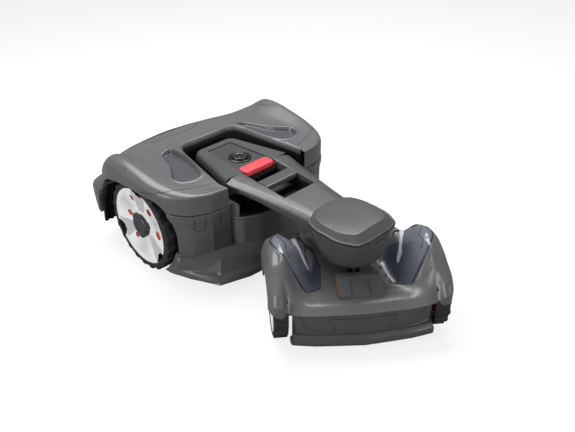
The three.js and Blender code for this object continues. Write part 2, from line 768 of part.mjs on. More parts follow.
// Arm: sections from its root at the seam to its neck at the head
// Columns: lead ahead of the rear axle, half width, top, edge below the top, all as shares
const arm_sections = [
  { lead: 0.000, width: 1.00, top: 0.00, lip: 0.34 },
  { lead: 0.085, width: 0.975, top: 0.10, lip: 0.31 },
  { lead: 0.200, width: 0.905, top: 0.20, lip: 0.26 },
  { lead: 0.380, width: 0.820, top: 0.36, lip: 0.29 },
  { lead: 0.600, width: 0.735, top: 0.56, lip: 0.36 },
  { lead: 0.800, width: 0.665, top: 0.78, lip: 0.43 },
  { lead: 1.000, width: 0.613, top: 1.00, lip: 0.50 },
];
const arm_top_share = 0.60;
const arm_shoulder_drop = 9;
const arm_crown = 1;
const arm_roll = 2;
const arm_keel = 8;
const arm_end_offset = 66;
const arm_end_lead = steer_axis_lead - arm_end_offset;

function armBeam() {
  const rings = arm_sections.map(({ lead, width, top, lip }) => {
    const y = -mix(seam_lead + seat_gap, arm_end_lead, lead);
    const half = width * arm_root_half_width;
    const zt = console_height + arm_crown - arm_drop * top;
    const edge = zt - arm_shoulder_drop;
    const low = edge - lip * arm_lip_depth;
    const keel = low - arm_keel;
    const side = [[0, zt], [half * arm_top_share, zt], [half * 0.8, zt - arm_roll], [half, edge],
      [half * 0.985, low], [half * 0.86, keel], [0, keel]];
    const ring = side.concat(side.slice(1, -1).reverse().map(([x, z]) => [-x, z]));
    return ring.map(([x, z]) => [x, y, z]);
  });
  return loft(rings);
}

const head_rim_drop = 25;
const head_rim_height = console_height - head_rim_drop;
const head_outline_shares = [
  [0.00, 0.88], [0.62, 0.83], [0.80, 0.76], [1.00, -0.26], [0.86, -0.80], [0.55, -1.06], [0.00, -1.14],
];

// Distance from the steering axis to the head's outline in one direction
function headReach(direction) {
  const side = head_outline_shares.map(([x, y]) => [x * head_cap_half_width, -y * head_cap_half_width]);
  const points = side.concat(side.slice(1, -1).reverse().map(([x, y]) => [-x, y]));
  const [dx, dy] = [Math.cos(direction), Math.sin(direction)];
  for (let i = 0; i < points.length; i += 1) {
    const [ax, ay] = points[i];
    const [bx, by] = points[(i + 1) % points.length];
    const across = dx * (by - ay) - dy * (bx - ax);
    const reach = (ax * (by - ay) - ay * (bx - ax)) / across;
    const share = (ax * dy - ay * dx) / across;
    if (Math.abs(across) > 1e-9 && reach > 0 && share >= -1e-9 && share <= 1 + 1e-9) return reach;
  }
  return head_cap_half_width;
}

const head_sides = 20;

function headRing(circle, share, z, scale = 1) {
  const ring = [];
  for (let i = 0; i < head_sides; i += 1) {
    const a = 2 * Math.PI * (i + 0.5) / head_sides;
    const r = mix(circle, headReach(a), share) * scale;
    ring.push([r * Math.cos(a), r * Math.sin(a) - steer_axis_lead, z]);
  }
  return ring;
}

const steer_shaft_radius = 11;
const bearing_radius = 19;
const bearing_height = 12;
const steer_motor_radius = 34;
const steer_motor_height = 38;
const bowl_floor = 9;

function headBowl() {
  const z0 = bowl_floor_height;
  const rise = head_rim_height - z0;
  return loft([
    headRing(bowl_radius * 0.9, 0, z0), headRing(bowl_radius * 1.06, 0, z0 + rise * 0.05),
    headRing(bowl_radius * 1.2, 0.15, z0 + rise * 0.2), headRing(bowl_radius * 1.25, 0.5, z0 + rise * 0.45),
    headRing(bowl_radius * 1.25, 0.9, z0 + rise * 0.78), headRing(0, 1, head_rim_height),
  ]);
}

// The arm and the bowl are one moulding, cut by the two hand openings and the swivel's bores
function armMoulding() {
  const whole = join(armBeam(), headBowl());
  const clearance = 1 + seat_gap * 2 / head_cap_half_width;
  const above = loft([
    headRing(0, 1, head_rim_height, clearance), headRing(0, 1, console_height * 1.2, clearance),
  ]);
  const x = opening_half_width;
  const well = box(-x, x, -opening_front_lead, -seam_lead + cut_overrun, 0, console_height * 1.2);
  const on_axis = (radius, low, high, sides) => moved(drum(radius, low, high, sides), 0, -steer_axis_lead);
  const bore = on_axis(steer_shaft_radius + running_gap, 0, console_height, 16);
  const seat = on_axis(bearing_radius + seat_gap, bowl_floor_height + bowl_floor, console_height, 16);
  const bay_low = bowl_floor_height + bowl_floor + bearing_height + seat_gap;
  const motor_bay = on_axis(steer_motor_radius + seat_gap, bay_low, console_height, 16);
  const bar_seat_height = console_height - bar_thickness;
  const bar_seats = box(-x - bar_tenon, x + bar_tenon, -bar_front_lead + bar_tenon_inset - seat_gap,
    -bar_rear_lead - bar_tenon_inset + seat_gap, bar_seat_height + bar_tenon_low - seat_gap,
    bar_seat_height + bar_tenon_high + seat_gap);
  return cut(whole, above, well, bore, seat, motor_bay, bar_seats);
}

const bar_tenon = 8;
const bar_corner_radius = 5;
const bar_sink = 3;
const bar_tenon_inset = 8;
const bar_tenon_low = 2;
const bar_tenon_high = 10;

// Carry bar with rounded edges, held by a tenon in each rail of the arm
function carryBar() {
  const x = opening_half_width - seat_gap;
  const high = console_height - bar_sink;
  const low = high - bar_thickness + 1;
  const [y0, y1] = [-bar_front_lead, -bar_rear_lead];
  const shape = roundedShape([[y0, low], [y1, low], [y1, high], [y0, high]], bar_corner_radius, 3);
  const bar = new THREE.ExtrudeGeometry(shape, { depth: 2 * x, bevelEnabled: false })
    .applyMatrix4(new THREE.Matrix4().set(0, 0, 1, -x, 1, 0, 0, 0, 0, 1, 0, 0, 0, 0, 0, 1));
  const base = console_height - bar_thickness;
  const tenon_x = x + bar_tenon;
  const tenon = box(-tenon_x, tenon_x, -bar_front_lead + bar_tenon_inset, -bar_rear_lead - bar_tenon_inset,
    base + bar_tenon_low, base + bar_tenon_high);
  return join(bar, tenon);
}

// Dark tub under the openings, so that a hand meets a floor and not the lawn
const tub_drop = 4;

function gripTub() {
  const x = opening_half_width - seat_gap;
  const front = opening_front_lead - seat_gap;
  const rear = opening_rear_lead + seat_gap * 2;
  const low = console_height - tub_depth;
  const high = console_height - bar_thickness - tub_drop;
  const wall = moulded_wall * 0.8;
  const hollow = box(-x + wall, x - wall, -front + wall, -rear - wall, low + wall, high + cut_overrun);
  const rib = box(-x + wall, x - wall, -bar_front_lead, -bar_front_lead + wall, low + wall / 2,
    low + tub_depth * 0.3);
  return join(cut(box(-x, x, -front, -rear, low, high), hollow), rib);
}

// Head cap: faceted, with a raised plateau and a rim over the bowl
function headCap() {
  const z = head_rim_height + seat_gap;
  const top = head_height - z;
  return loft([
    headRing(0, 1, z, 0.985), headRing(0, 1, z + top * 0.14, 1), headRing(0, 1, z + top * 0.24, 0.97),
    headRing(0, 1, z + top * 0.86, 0.74), headRing(0, 1, z + top, 0.64),
  ]);
}

// Wheels are built lying down, their outer side up, and are then stood up to the mower's left
const stand = (geometry, x, y, z) => geometry.clone().rotateY(Math.PI / 2).translate(x, y, z);
const rear_disc_sides = 18;
const front_disc_sides = 16;
const sidesOf = (radius) => (radius < rear_wheel_radius ? front_disc_sides : rear_disc_sides);

// Tyre with bars across its tread; the lowest bar's flat end stands on the lawn. The bars end a
// little inside the tyre's outer side wall
function tyre(radius, width, lugs) {
  const shape = new THREE.Shape();
  const root = radius - lug_height;
  const half = lug_length / 2;
  for (let k = 0; k < lugs; k += 1) {
    const a = 2 * Math.PI * k / lugs;
    const turn = ([r, t]) => [r * Math.cos(a) - t * Math.sin(a), r * Math.sin(a) + t * Math.cos(a)];
    const corners = [[root, -half * 1.3], [radius, -half], [radius, half], [root, half * 1.3]].map(turn);
    corners.forEach(([x, y], i) => (k === 0 && i === 0 ? shape.moveTo(x, y) : shape.lineTo(x, y)));
  }
  const bead = drum(radius * (1 - tyre_section_share), -cut_overrun, width + cut_overrun, sidesOf(radius));
  const side_wall = drum(root - rim_gap / 2, width / 2, width, sidesOf(radius));
  return cut(join(slab(shape, 0, width - lug_setback), side_wall), bead);
}

// Directions on a wheel are angles from straight ahead, upwards positive
const spoke = (angle, radius) => [-Math.sin(angle) * radius, -Math.cos(angle) * radius];
const degrees = Math.PI / 180;
const notch_angles = [50 * degrees, 170 * degrees, 290 * degrees];

// A wedge between two radii and two angles, from one height to another
function wedge(angle, spread_in, spread_out, r0, r1, low, high) {
  const shape = new THREE.Shape();
  const corners = [[r0, -spread_in], [r1, -spread_out], [r1, spread_out], [r0, spread_in]];
  corners.forEach(([r, spread], i) => {
    const [x, y] = spoke(angle + spread, r);
    if (i === 0) shape.moveTo(x, y);
    else shape.lineTo(x, y);
  });
  return slab(shape, low, high);
}

const hub_flat_share = 0.40;
const rim_lip = 18;
const disc_fillet = 1;
const notch_spread_in = 0.10;
const notch_spread_out = 0.13;
const window_spread_in = 0.05;
const window_spread_out = 0.06;
const window_offset = 37 * degrees;

function wheelDisc(radius, width) {
  const r = radius * (1 - tyre_section_share) - seat_gap;
  const z = width - rim_gap;
  const hub = r * hub_flat_share;
  const bore = axle_radius + seat_gap;
  const disc = revolved([
    [bore, z - disc_dish], [hub, z - disc_dish], [r, z], [r, z - rim_lip],
    [r - disc_wall, z - rim_lip], [r - disc_wall, z - disc_wall - disc_fillet],
    [hub, z - disc_dish - disc_wall],
    [bore, z - disc_dish - disc_wall], [bore, z - disc_dish],
  ], sidesOf(radius));
  const notches = notch_angles.map((a) =>
    wedge(a, notch_spread_in, notch_spread_out, r * 0.86, r * 1.1, 0, width * 2));
  const windows = (radius < rear_wheel_radius ? [] : notch_angles).flatMap((a) => [-1, 1].map((way) =>
    wedge(a + way * window_offset, window_spread_in, window_spread_out, r * 0.66, r * 0.86, 0, width * 2)));
  return cut(disc, ...notches, ...windows);
}

// The orange ring behind the disc shows through the disc's windows
function insertRing(radius, width) {
  const rim = radius * (1 - tyre_section_share) - seat_gap;
  const hub = rim * hub_flat_share;
  const r = rim * 0.9;
  const low = width - rim_gap - disc_dish - disc_wall - seat_gap;
  const rise = (disc_dish - disc_fillet) * (r - hub) / (rim - disc_wall - hub);
  const back = low - insert_thickness;
  return revolved([[hub, low], [r, low + rise], [r, back + rise], [hub, back], [hub, low]], sidesOf(radius));
}

const cap_lobe_angles = [104 * degrees, 237 * degrees, 350 * degrees];
const cap_roll = 3;
const lobe_spread_in = 0.2;
const lobe_spread_out = 0.12;

function hubCap(radius, width) {
  const r = radius * hub_cap_share;
  const z = width - rim_gap - disc_dish + seat_gap;
  const top = z + hub_cap_height;
  const side = [[0, z], [r * 0.9, z], [r * 0.9, top - cap_roll], [r * 0.7, top], [0, top - cap_roll / 3]];
  const cap = revolved(side, 12);
  if (radius < rear_wheel_radius) return cap;
  const lobes = cap_lobe_angles.map((a) =>
    wedge(a, lobe_spread_in, lobe_spread_out, r * 0.5, r * 1.06, z, top - cap_roll * 0.67));
  return join(cap, ...lobes);
}

function hubMotor(radius, x0, x1, shaft_end, axle_height) {
  const body = acrossDrum(radius, x0, x1, 14);
  const shaft = acrossDrum(axle_radius, x0 + cut_overrun, shaft_end, 8);
  return join(body, shaft).translate(0, 0, axle_height);
}

// Inside the rear body: the battery on the tray's floor and the board on the roof of the cutter bay
const battery_half_width = 96;
const battery_share = 0.51;
const battery_height = 64;
const battery_corner_radius = 10;

function battery() {
  const y0 = cutter_radius + cutter_bay_gap + tray_wall * 4 - cutter_lead;
  const x = battery_half_width;
  const y1 = y0 + rear_reach * battery_share;
  const shape = roundedShape([[-x, y0], [x, y0], [x, y1], [-x, y1]], battery_corner_radius, 2);
  return slab(shape, belly_floor + tray_wall + seat_gap, belly_floor + tray_wall + battery_height);
}

const board_half_width = 54;
const board_length_share = 0.9636;
const board_length = cutter_radius * board_length_share;
const board_offset_share = 0.2727;
const board_offset = cutter_radius * board_offset_share;
const board_front = cutter_lead + board_offset;
const board_thickness = 2;
const chip_height = 9;

// Chips: place and size as shares of the board's half width and length, then share of the tallest chip
const chip_shares = [
  [-0.55, 0.19, 0.41, 0.13, 0.55], [0.18, 0.47, 0.55, 0.21, 1], [-0.63, 0.66, 0.48, 0.19, 0.78],
];

function circuitBoard() {
  const z = bay_roof + tray_wall + seat_gap;
  const top = z + board_thickness;
  const board = box(-board_half_width, board_half_width, -board_front, -board_front + board_length, z, top);
  const chips = chip_shares.map(([x, y, w, d, h]) => {
    const x0 = x * board_half_width;
    const y0 = -board_front + y * board_length;
    const x1 = x0 + w * board_half_width;
    return box(x0, x1, y0, y0 + d * board_length, z + board_thickness / 2, top + h * chip_height);
  });
  return join(board, ...chips);
}

// Cutting unit: a carriage with the motor, moved by a screw, then the disc, its blades and the skid plate
const disc_thickness = 4;
const disc_low = cutting_height + disc_thickness;
const spindle_radius = 6;
const carriage_rise = 26;
const carriage_low = disc_low + carriage_rise;
const carriage_plate = 6;
const carriage_motor_radius = 36;
const carriage_motor_share = 0.52;
const carriage_motor_height = (bay_roof - carriage_low) * carriage_motor_share;
const nut_radius = 11;
const nut_height = carriage_motor_height;
const screw_collar = 4;
const gear_height = 9;
const pivot_radius = 2.4;
const pivot_inset = 10;
const pivot_reach = cutting_disc_radius - pivot_inset;
const stud_head = 1.4;
const skid_depth = 11;
const skid_thickness = 5;

function cutterMotor() {
  const motor = drum(carriage_motor_radius, carriage_low, carriage_low + carriage_motor_height, 16);
  const plate = drum(screw_offset + nut_radius, carriage_low, carriage_low + carriage_plate, 18);
  const nut = moved(drum(nut_radius, carriage_low, carriage_low + nut_height, 10), screw_offset, 0);
  const bore = moved(drum(screw_radius + seat_gap, 0, bay_roof, 16), screw_offset, 0);
  const spindle_low = disc_low - skid_depth + skid_thickness + seat_gap;
  const spindle = drum(spindle_radius, spindle_low, carriage_low + carriage_plate / 2, 8);
  return moved(join(cut(join(motor, plate, nut), bore), spindle), 0, -cutter_lead);
}

function heightScrew() {
  const gear_low = bay_roof + tray_wall + screw_collar;
  const shaft = drum(screw_radius, carriage_low + nut_height * 0.4, gear_low + gear_height, 8);
  const collar = drum(screw_radius * 1.8, bay_roof - screw_collar - seat_gap, bay_roof - seat_gap, 8);
  const gear = drum(screw_radius * 2.4, gear_low, gear_low + gear_height, 8);
  return moved(join(shaft, collar, gear), screw_offset, -cutter_lead);
}

function cuttingDisc() {
  const plate = drum(cutting_disc_radius, disc_low, disc_low + disc_thickness, 20);
  const hub = drum(spindle_radius * 3, disc_low, disc_low + disc_thickness * 3, 10);
  const bore = drum(spindle_radius + seat_gap, 0, bay_roof, 16);
  const studs = [0, 1, 2].map((k) => {
    const a = 2 * Math.PI * k / blade_count;
    const head_top = disc_low - seat_gap * 2 - blade_thickness;
    const pin = drum(pivot_radius, head_top - stud_head, disc_low + disc_thickness / 2, 6);
    const stud = join(pin, drum(pivot_radius * 2, head_top - stud_head, head_top, 6));
    return moved(stud, pivot_reach * Math.cos(a), pivot_reach * Math.sin(a));
  });
  return moved(cut(join(plate, hub, ...studs), bore), 0, -cutter_lead);
}

function blade(index) {
  const a = 2 * Math.PI * index / blade_count;
  const w = blade_width / 2;
  const corners = [[-w, -w], [blade_length, -w], [blade_length, w], [-w, w]];
  const shape = roundedShape(corners, blade_width * 0.2, 2);
  const plate = slab(shape, disc_low - seat_gap - blade_thickness, disc_low - seat_gap);
  const hole = drum(pivot_radius + seat_gap, 0, bay_roof, 6).rotateZ(-a);
  return cut(plate, hole).rotateZ(a)
    .translate(pivot_reach * Math.cos(a), pivot_reach * Math.sin(a) - cutter_lead, 0);
}

function skidPlate() {
  const low = disc_low - skid_depth;
  const top = low + skid_thickness;
  const edge = top - skid_thickness * 0.4;
  const profile = [[0, low], [skid_radius * 0.8, low], [skid_radius, edge], [skid_radius, top], [0, top]];
  return moved(revolved(profile, 20), 0, -cutter_lead);
}

// Swivel: bearing and motor in the bowl, a shaft through both, and the bracket that lets the front body roll
const roll_axis_drop = 18;
const roll_axis_height = bowl_floor_height - roll_axis_drop;
const roll_pin_radius = 5.5;
const yoke_half_width = 15;
const yoke_half_length = 28;
const yoke_drop = 6;
const yoke_high = bowl_floor_height - yoke_drop;
const yoke_height = 23;
const yoke_low = yoke_high - yoke_height;
const ear_thickness = 9;
const pin_reach = 40;
const bearing_low = bowl_floor_height + bowl_floor + seat_gap;

const ringOf = (outer, inner, low, high, sides) =>
  cut(drum(outer, low, high, sides), drum(inner, low - cut_overrun, high + cut_overrun, sides));

const alongDrum = (radius, y0, y1, sides = 10) => drum(radius, y0, y1, sides).rotateX(-Math.PI / 2);

function swivelShaft() {
  const shaft = drum(steer_shaft_radius, yoke_high - seam_step, head_rim_height - yoke_drop, 16);
  const yoke = box(
    -yoke_half_width, yoke_half_width, -yoke_half_length, yoke_half_length, yoke_low, yoke_high);
  const bore = alongDrum(roll_pin_radius + seat_gap, -pin_reach * 2, pin_reach * 2)
    .translate(0, 0, roll_axis_height);
  return cut(join(shaft, yoke), bore);
}

// Front shell: sections from one side to the other, each a line of heights from its rear to its front
// Columns: share of half width, rear end and front end as shares of the bumper's lead, then eight heights
const shell_way_shares = [0, 0.05, 0.16, 0.38, 0.62, 0.78, 0.90, 1.00];
const shell_sections = [
  [0.000, -0.42, 0.885, 0.510, 0.518, 0.520, 0.524, 0.538, 0.555, 0.560, 0.508],
  [0.410, -0.42, 0.865, 0.520, 0.535, 0.545, 0.545, 0.546, 0.553, 0.558, 0.508],
  [0.555, -0.41, 0.855, 0.590, 0.650, 0.700, 0.720, 0.625, 0.565, 0.558, 0.510],
  [0.670, -0.38, 0.835, 0.680, 0.780, 0.850, 0.880, 0.780, 0.650, 0.580, 0.512],
  [0.790, -0.34, 0.800, 0.780, 0.880, 0.960, 1.000, 0.960, 0.820, 0.680, 0.530],
  [0.870, -0.32, 0.800, 0.770, 0.870, 0.950, 0.990, 0.930, 0.825, 0.740, 0.620],
  [0.950, -0.30, 0.740, 0.750, 0.825, 0.890, 0.935, 0.890, 0.800, 0.735, 0.640],
  [1.000, -0.22, 0.600, 0.670, 0.720, 0.760, 0.790, 0.775, 0.745, 0.705, 0.630],
];
const shell_wall = 3;

function shellSolid(inset, lift, low) {
  const half = shell_sections.map(([x_share, rear, front, ...heights]) => {
    const x = Math.max(x_share * front_shell_half_width - (x_share > 0.9 ? inset : 0), 0);
    const y0 = rear * bumper_lead + inset;
    const y1 = front * bumper_lead - inset;
    const top = heights.map((h, i) =>
      [x, -mix(y0, y1, shell_way_shares[i]), h * front_shell_height - inset + lift]);
    return [[x, -y0, low], ...top, [x, -y1, low]];
  });
  const other = half.slice(1).reverse().map((ring) => ring.map(([x, y, z]) => [-x, y, z]));
  return loft(other.concat(half));
}

const lens_shares = [
  [-0.34, -0.02], [-0.40, 0.42], [-0.58, 0.53], [-0.81, 0.31], [-0.90, 0.10],
  [-0.92, -0.06], [-0.86, -0.20], [-0.72, -0.26], [-0.40, -0.26],
];
const lens_thickness = 1.6;
const lens_recess = 2;
const guide_shares = [[-0.665, -0.22], [-0.610, -0.24], [-0.500, 0.14], [-0.515, 0.17], [-0.555, 0.12]];
const lens_corner_radius = 5;

// A prism over a plan outline on the shell, its points as shares of half width and of the bumper's lead
function shellPrism(shares, grow) {
  const points = grown(shares.map(([x, y]) => [x * front_shell_half_width, -y * bumper_lead]), grow);
  const plan = roundedShape(points, lens_corner_radius, 1);
  return slab(plan, shell_low - cut_overrun, front_shell_height * 1.2);
}

// The skin of the shell between two depths, inside a plan outline
function skin(shares, grow, deep, shallow) {
  const upper = common(shellSolid(0, -shallow, shell_low), shellPrism(shares, grow));
  return cut(upper, shellSolid(0, -deep, shell_low - cut_overrun));
}

const ear_slot = 3;
const arch_lap = 10;

function frontShell() {
  const recess = skin(lens_shares, 0, lens_recess, -cut_overrun);
  const hole_x = yoke_half_width + ear_slot;
  const hole_y = pin_reach + ear_slot * 2;
  const hole = box(-hole_x, hole_x, -hole_y, hole_y, 0, front_shell_height);
  const well_start = front_wheel_outer_plane - front_wheel_width - running_gap * 2;
  const well_end = front_wheel_outer_plane + running_gap;
  const well = acrossDrum(front_wheel_radius + running_gap, well_start, well_end, 18)
    .translate(0, -front_axle_lead, front_wheel_radius);
  const arch_end = front_shell_half_width + cut_overrun;
  const arch = acrossDrum(front_wheel_radius - arch_lap, front_wheel_outer_plane, arch_end, 14)
    .translate(0, arch_lap - front_axle_lead, front_wheel_radius);
  const shell = cut(shellSolid(0, 0, shell_low), shellSolid(shell_wall, 0, shell_low - cut_overrun));
  return cut(shell, recess, mirrored(recess), hole, well, mirrored(well), arch, mirrored(arch));
}

function lens() {
  const back = lens_recess - seat_gap;
  const plate = skin(lens_shares, -seat_gap * 2, back, back - lens_thickness);
  return cut(plate, shellPrism(guide_shares, seat_gap * 3));
}

const guide_rise = 1.5;
const lightGuide = () => skin(guide_shares, 0, lens_recess - seat_gap, -guide_rise);

// Front chassis: beam between the wheel motors, plate under the shell, ears for the roll pin
const chassis_width_share = 0.557;
const beam_half_width = front_shell_half_width * chassis_width_share;
const beam_low_share = 0.4;
const beam_low = bowl_floor_height * beam_low_share;
const beam_half_length = 26;
const chassis_rear_share = 0.389;
const chassis_rear_lead = -bumper_lead * chassis_rear_share;
const chassis_front_share = 0.7444;
const chassis_front_lead = bumper_lead * chassis_front_share;
const chassis_drop = 3;
const chassis_plate_high = shell_low - chassis_drop;
const chassis_plate_thickness = 9;
const chassis_plate_low = chassis_plate_high - chassis_plate_thickness;
const chassis_corner_radius = 12;
const front_motor_share = 0.387;
const front_motor_radius = front_wheel_radius * front_motor_share;
const guide_pin_radius = 4;
const pin_end_share = 0.86;
const pin_root_share = 0.85;
const guide_pin_offset = 60;
const guide_pin_drop = 5;
const guide_pin_height = chassis_plate_high - guide_pin_drop;
const bumper_travel = 4;

function frontChassis() {
  const x = beam_half_width;
  const y = front_axle_lead;
  const plate = slab(roundedShape([
    [-x * 0.8, -chassis_rear_lead], [-x, -y], [-x * 0.9, -chassis_front_lead * 0.9],
    [-x * 0.5, -chassis_front_lead], [x * 0.5, -chassis_front_lead],
    [x * 0.9, -chassis_front_lead * 0.9], [x, -y], [x * 0.8, -chassis_rear_lead],
  ], chassis_corner_radius, 1), chassis_plate_low, chassis_plate_high);
  const beam = box(-x, x, -y - beam_half_length, -y + beam_half_length, beam_low, chassis_plate_high);
  const ears = [-1, 1].map((way) => {
    const y0 = yoke_half_length + seat_gap;
    const y1 = y0 + ear_thickness;
    const w = yoke_half_width * 0.9;
    const top = roll_axis_height + roll_pin_radius * 2;
    return box(-w, w, way > 0 ? y0 : -y1, way > 0 ? y1 : -y0, chassis_plate_low, top);
  });
  const bore = alongDrum(roll_pin_radius + seat_gap, -pin_reach * 2, pin_reach * 2)
    .translate(0, 0, roll_axis_height);
  const hole_end = -chassis_front_lead * pin_end_share + bumper_travel + running_gap;
  const holes = [-1, 1].map((way) =>
    alongDrum(guide_pin_radius + seat_gap, -chassis_front_lead * 1.1, hole_end, 8)
      .translate(way * guide_pin_offset, 0, guide_pin_height));
  return cut(join(plate, beam, ...ears), bore, ...holes);
}

// Charging block on the shell's floor, with a groove down its top and a contact on either side
const block_half_width = 48;
const block_height = 39;
const groove_half_width = 22;
const contact_thickness = 1.6;

// Side views: shares of the bumper's lead, and of the block's height above the shell's lower edge
const block_shares = [[0.35, 0], [0.367, 1], [0.433, 1], [0.661, 0.487], [0.683, 0.205], [0.683, 0]];
const groove_shares = [[0.467, 1.15], [0.467, 0.846], [0.656, 0.423], [0.722, 0.308], [0.722, 1.15]];
const contact_shares = [[0.389, 0.513], [0.389, 0.872], [0.433, 0.872], [0.633, 0.436], [0.633, 0.359]];

function sideExtrusion(shares, x0, x1) {
  const shape = new THREE.Shape(shares.map(([lead, rise]) =>
    new THREE.Vector2(-shell_low - rise * block_height, -lead * bumper_lead)));
  return new THREE.ExtrudeGeometry(shape, { depth: x1 - x0, bevelEnabled: false })
    .rotateY(Math.PI / 2).translate(x0, 0, 0);
}

function chargeBlock() {
  const block = sideExtrusion(block_shares, -block_half_width, block_half_width);
  const groove = sideExtrusion(groove_shares, -groove_half_width, groove_half_width);
  const floor = shellSolid(0, seat_gap, 0);
  return cut(block, groove, floor);
}

function contact(way) {
  const outside = block_half_width + seat_gap;
  const x = way > 0 ? outside : -outside - contact_thickness;
  return sideExtrusion(contact_shares, x, x + contact_thickness);
}

// Bumper: a lip low down, a wall above it, and a short tip at each end, inside the wheels
const bumper_top_drop = 2;
const bumper_top = shell_low - bumper_top_drop;
const bumper_low_share = 0.266;
const bumper_low = bumper_top * bumper_low_share;
const bumper_shelf_share = 0.532;
const bumper_shelf = bumper_top * bumper_shelf_share;
const wall_width_share = 0.751;
const wall_half_width = front_shell_half_width * wall_width_share;
const bumper_wall = 7;
const bumper_lean = 3;
const lip_bottom_round = 3;
const lip_face_rise = 6;
const lip_face_drop = 8;
const lip_step_back = 9;
const wall_overlap = 2;
const tip_share = 0.8;
const tip_space = front_wheel_outer_plane - front_wheel_width - wall_half_width;
const tip_length = tip_space * tip_share;
const tip_drop = 8;
const tip_back_share = 0.8;
const tip_front_share = 0.895;

// Plan of the bumper: share of its half width, then its lip and its wall as shares of its lead
const bumper_plan_shares = [
  [-1, 0.90, 0.770], [-0.70, 0.95, 0.845], [-0.37, 0.975, 0.864], [0, 1, 0.88],
  [0.37, 0.975, 0.864], [0.70, 0.95, 0.845], [1, 0.90, 0.770],
];

function bumperFace(push, back, low, high) {
  return loft(bumper_plan_shares.map(([x_share, , top]) => {
    const x = x_share * wall_half_width;
    const y = top * bumper_lead;
    const face = (z) => -(y + push + bumper_lean * (bumper_top - z) / (bumper_top - bumper_shelf));
    return [[x, -(y - back), low], [x, face(low), low], [x, face(high), high], [x, -(y - back), high]];
  }));
}

// Ends of a tip: share of the tip's length, lead of its front, and how far its top lies below the shelf
function bumperTip(way) {
  const back = bumper_lead * tip_back_share;
  const ring = (reach, front, drop) => {
    const x = way * (wall_half_width + reach);
    const low = bumper_low + 1;
    const high = bumper_shelf - tip_drop - drop;
    return [[x, -back, low], [x, -front, low], [x, -front, high], [x, -back, high]];
  };
  return loft([
    ring(-lip_bottom_round, bumper_lead * tip_front_share, 0),
    ring(tip_length * 0.67, bumper_lead * tip_front_share - lip_bottom_round, tip_drop * 0.25),
    ring(tip_length, back + lip_face_rise, tip_drop * 0.6),
  ]);
}

function bumper() {
  const lip = loft(bumper_plan_shares.map(([x_share, bottom, top]) => {
    const x = x_share * wall_half_width;
    const front = bottom * bumper_lead;
    const back = top * bumper_lead - bumper_wall;
    return [
      [x, -back, bumper_low + lip_bottom_round], [x, -(front - lip_bottom_round), bumper_low],
      [x, -front, bumper_low + lip_face_rise], [x, -(front - wall_overlap), bumper_shelf - lip_face_drop],
      [x, -(front - lip_step_back), bumper_shelf], [x, -back, bumper_shelf],
    ];
  }));
  const upper = bumperFace(0, bumper_wall, bumper_shelf - wall_overlap, bumper_top);
  const pins = [-1, 1].map((way) =>
    alongDrum(guide_pin_radius, -bumper_lead * pin_root_share, -chassis_front_lead * pin_end_share, 8)
      .translate(way * guide_pin_offset, 0, guide_pin_height));
  return join(lip, upper, bumperTip(-1), bumperTip(1), ...pins);
}

// The plate on the bumper's wall: shares of the wall's half width, and of the way up it
const plate_shares = [[-0.51, 0.82], [-0.377, 0.136], [0.344, 0.136], [0.444, 0.82]];
const plate_thickness = 2;

function bumperPlate() {
  const face = cut(bumperFace(seat_gap + plate_thickness, 0, bumper_shelf, bumper_top),
    bumperFace(seat_gap, bumper_wall * 2, 0, bumper_top * 1.2));
  const shape = new THREE.Shape(plate_shares.map(([x_share, rise]) =>
    new THREE.Vector2(x_share * wall_half_width, mix(bumper_shelf, bumper_top, rise))));
  const prism = new THREE.ExtrudeGeometry(shape, { depth: bumper_lead * 2, bevelEnabled: false })
    .rotateX(Math.PI / 2);
  return common(face, prism);
}

const part = new THREE.Group();
part.position.set(0, frame_origin_lead, 0);

function place(name, geometry, material, parent = part) {
  const mesh = new THREE.Mesh(geometry, material);
  mesh.name = name;
  parent.add(mesh);
  return mesh;
}

place('top_cover', topCover(), cover_grey);
place('rear_body', rearBody(), body_grey);
place('deck_skirt', deckSkirt(), body_grey);
place('belly_pan', bellyPan(), black_plastic);
place('arch_liner_left', archLiner(), black_plastic);
place('arch_liner_right', mirrored(archLiner()), black_plastic);
place('console_housing', consoleHousing(), arm_grey);
place('control_panel', controlPanel(), panel_grey);
place('dial_ring', moved(dialRing(), 0, -dial_lead), black_plastic);
place('dial_shaft', moved(dialShaft(), 0, -dial_lead), black_plastic);
place('dial_knob', dialKnob(), black_plastic);
place('stop_button', stopButton(), stop_red);
place('arm_moulding', armMoulding(), arm_grey);
place('carry_bar', carryBar(), arm_grey);
place('grip_tub', gripTub(), black_plastic);
place('head_cap', headCap(), arm_grey);
place('battery', battery(), battery_blue);
place('circuit_board', circuitBoard(), board_green);

const bearing = ringOf(
  bearing_radius, steer_shaft_radius + seat_gap, bearing_low, bearing_low + bearing_height, 16);
const steer_motor_low = bearing_low + bearing_height + seat_gap;
const steer_motor = ringOf(steer_motor_radius, steer_shaft_radius + seat_gap, steer_motor_low,
  steer_motor_low + steer_motor_height, 16);
place('steer_bearing', moved(bearing, 0, -steer_axis_lead), steel);
place('steer_motor', moved(steer_motor, 0, -steer_axis_lead), battery_blue);

place('cutter_motor', cutterMotor(), battery_blue);
place('height_screw', heightScrew(), steel);
place('cutting_disc', cuttingDisc(), black_plastic);
place('blade_1', blade(0), steel);
place('blade_2', blade(1), steel);
place('blade_3', blade(2), steel);
place('skid_plate', skidPlate(), black_plastic);

// The front body hangs on the steering axis and is turned to the mower's right, as in the photo
const front = new THREE.Group();
front.position.set(0, -steer_axis_lead, 0);
front.rotation.z = -steer_angle;
part.add(front);

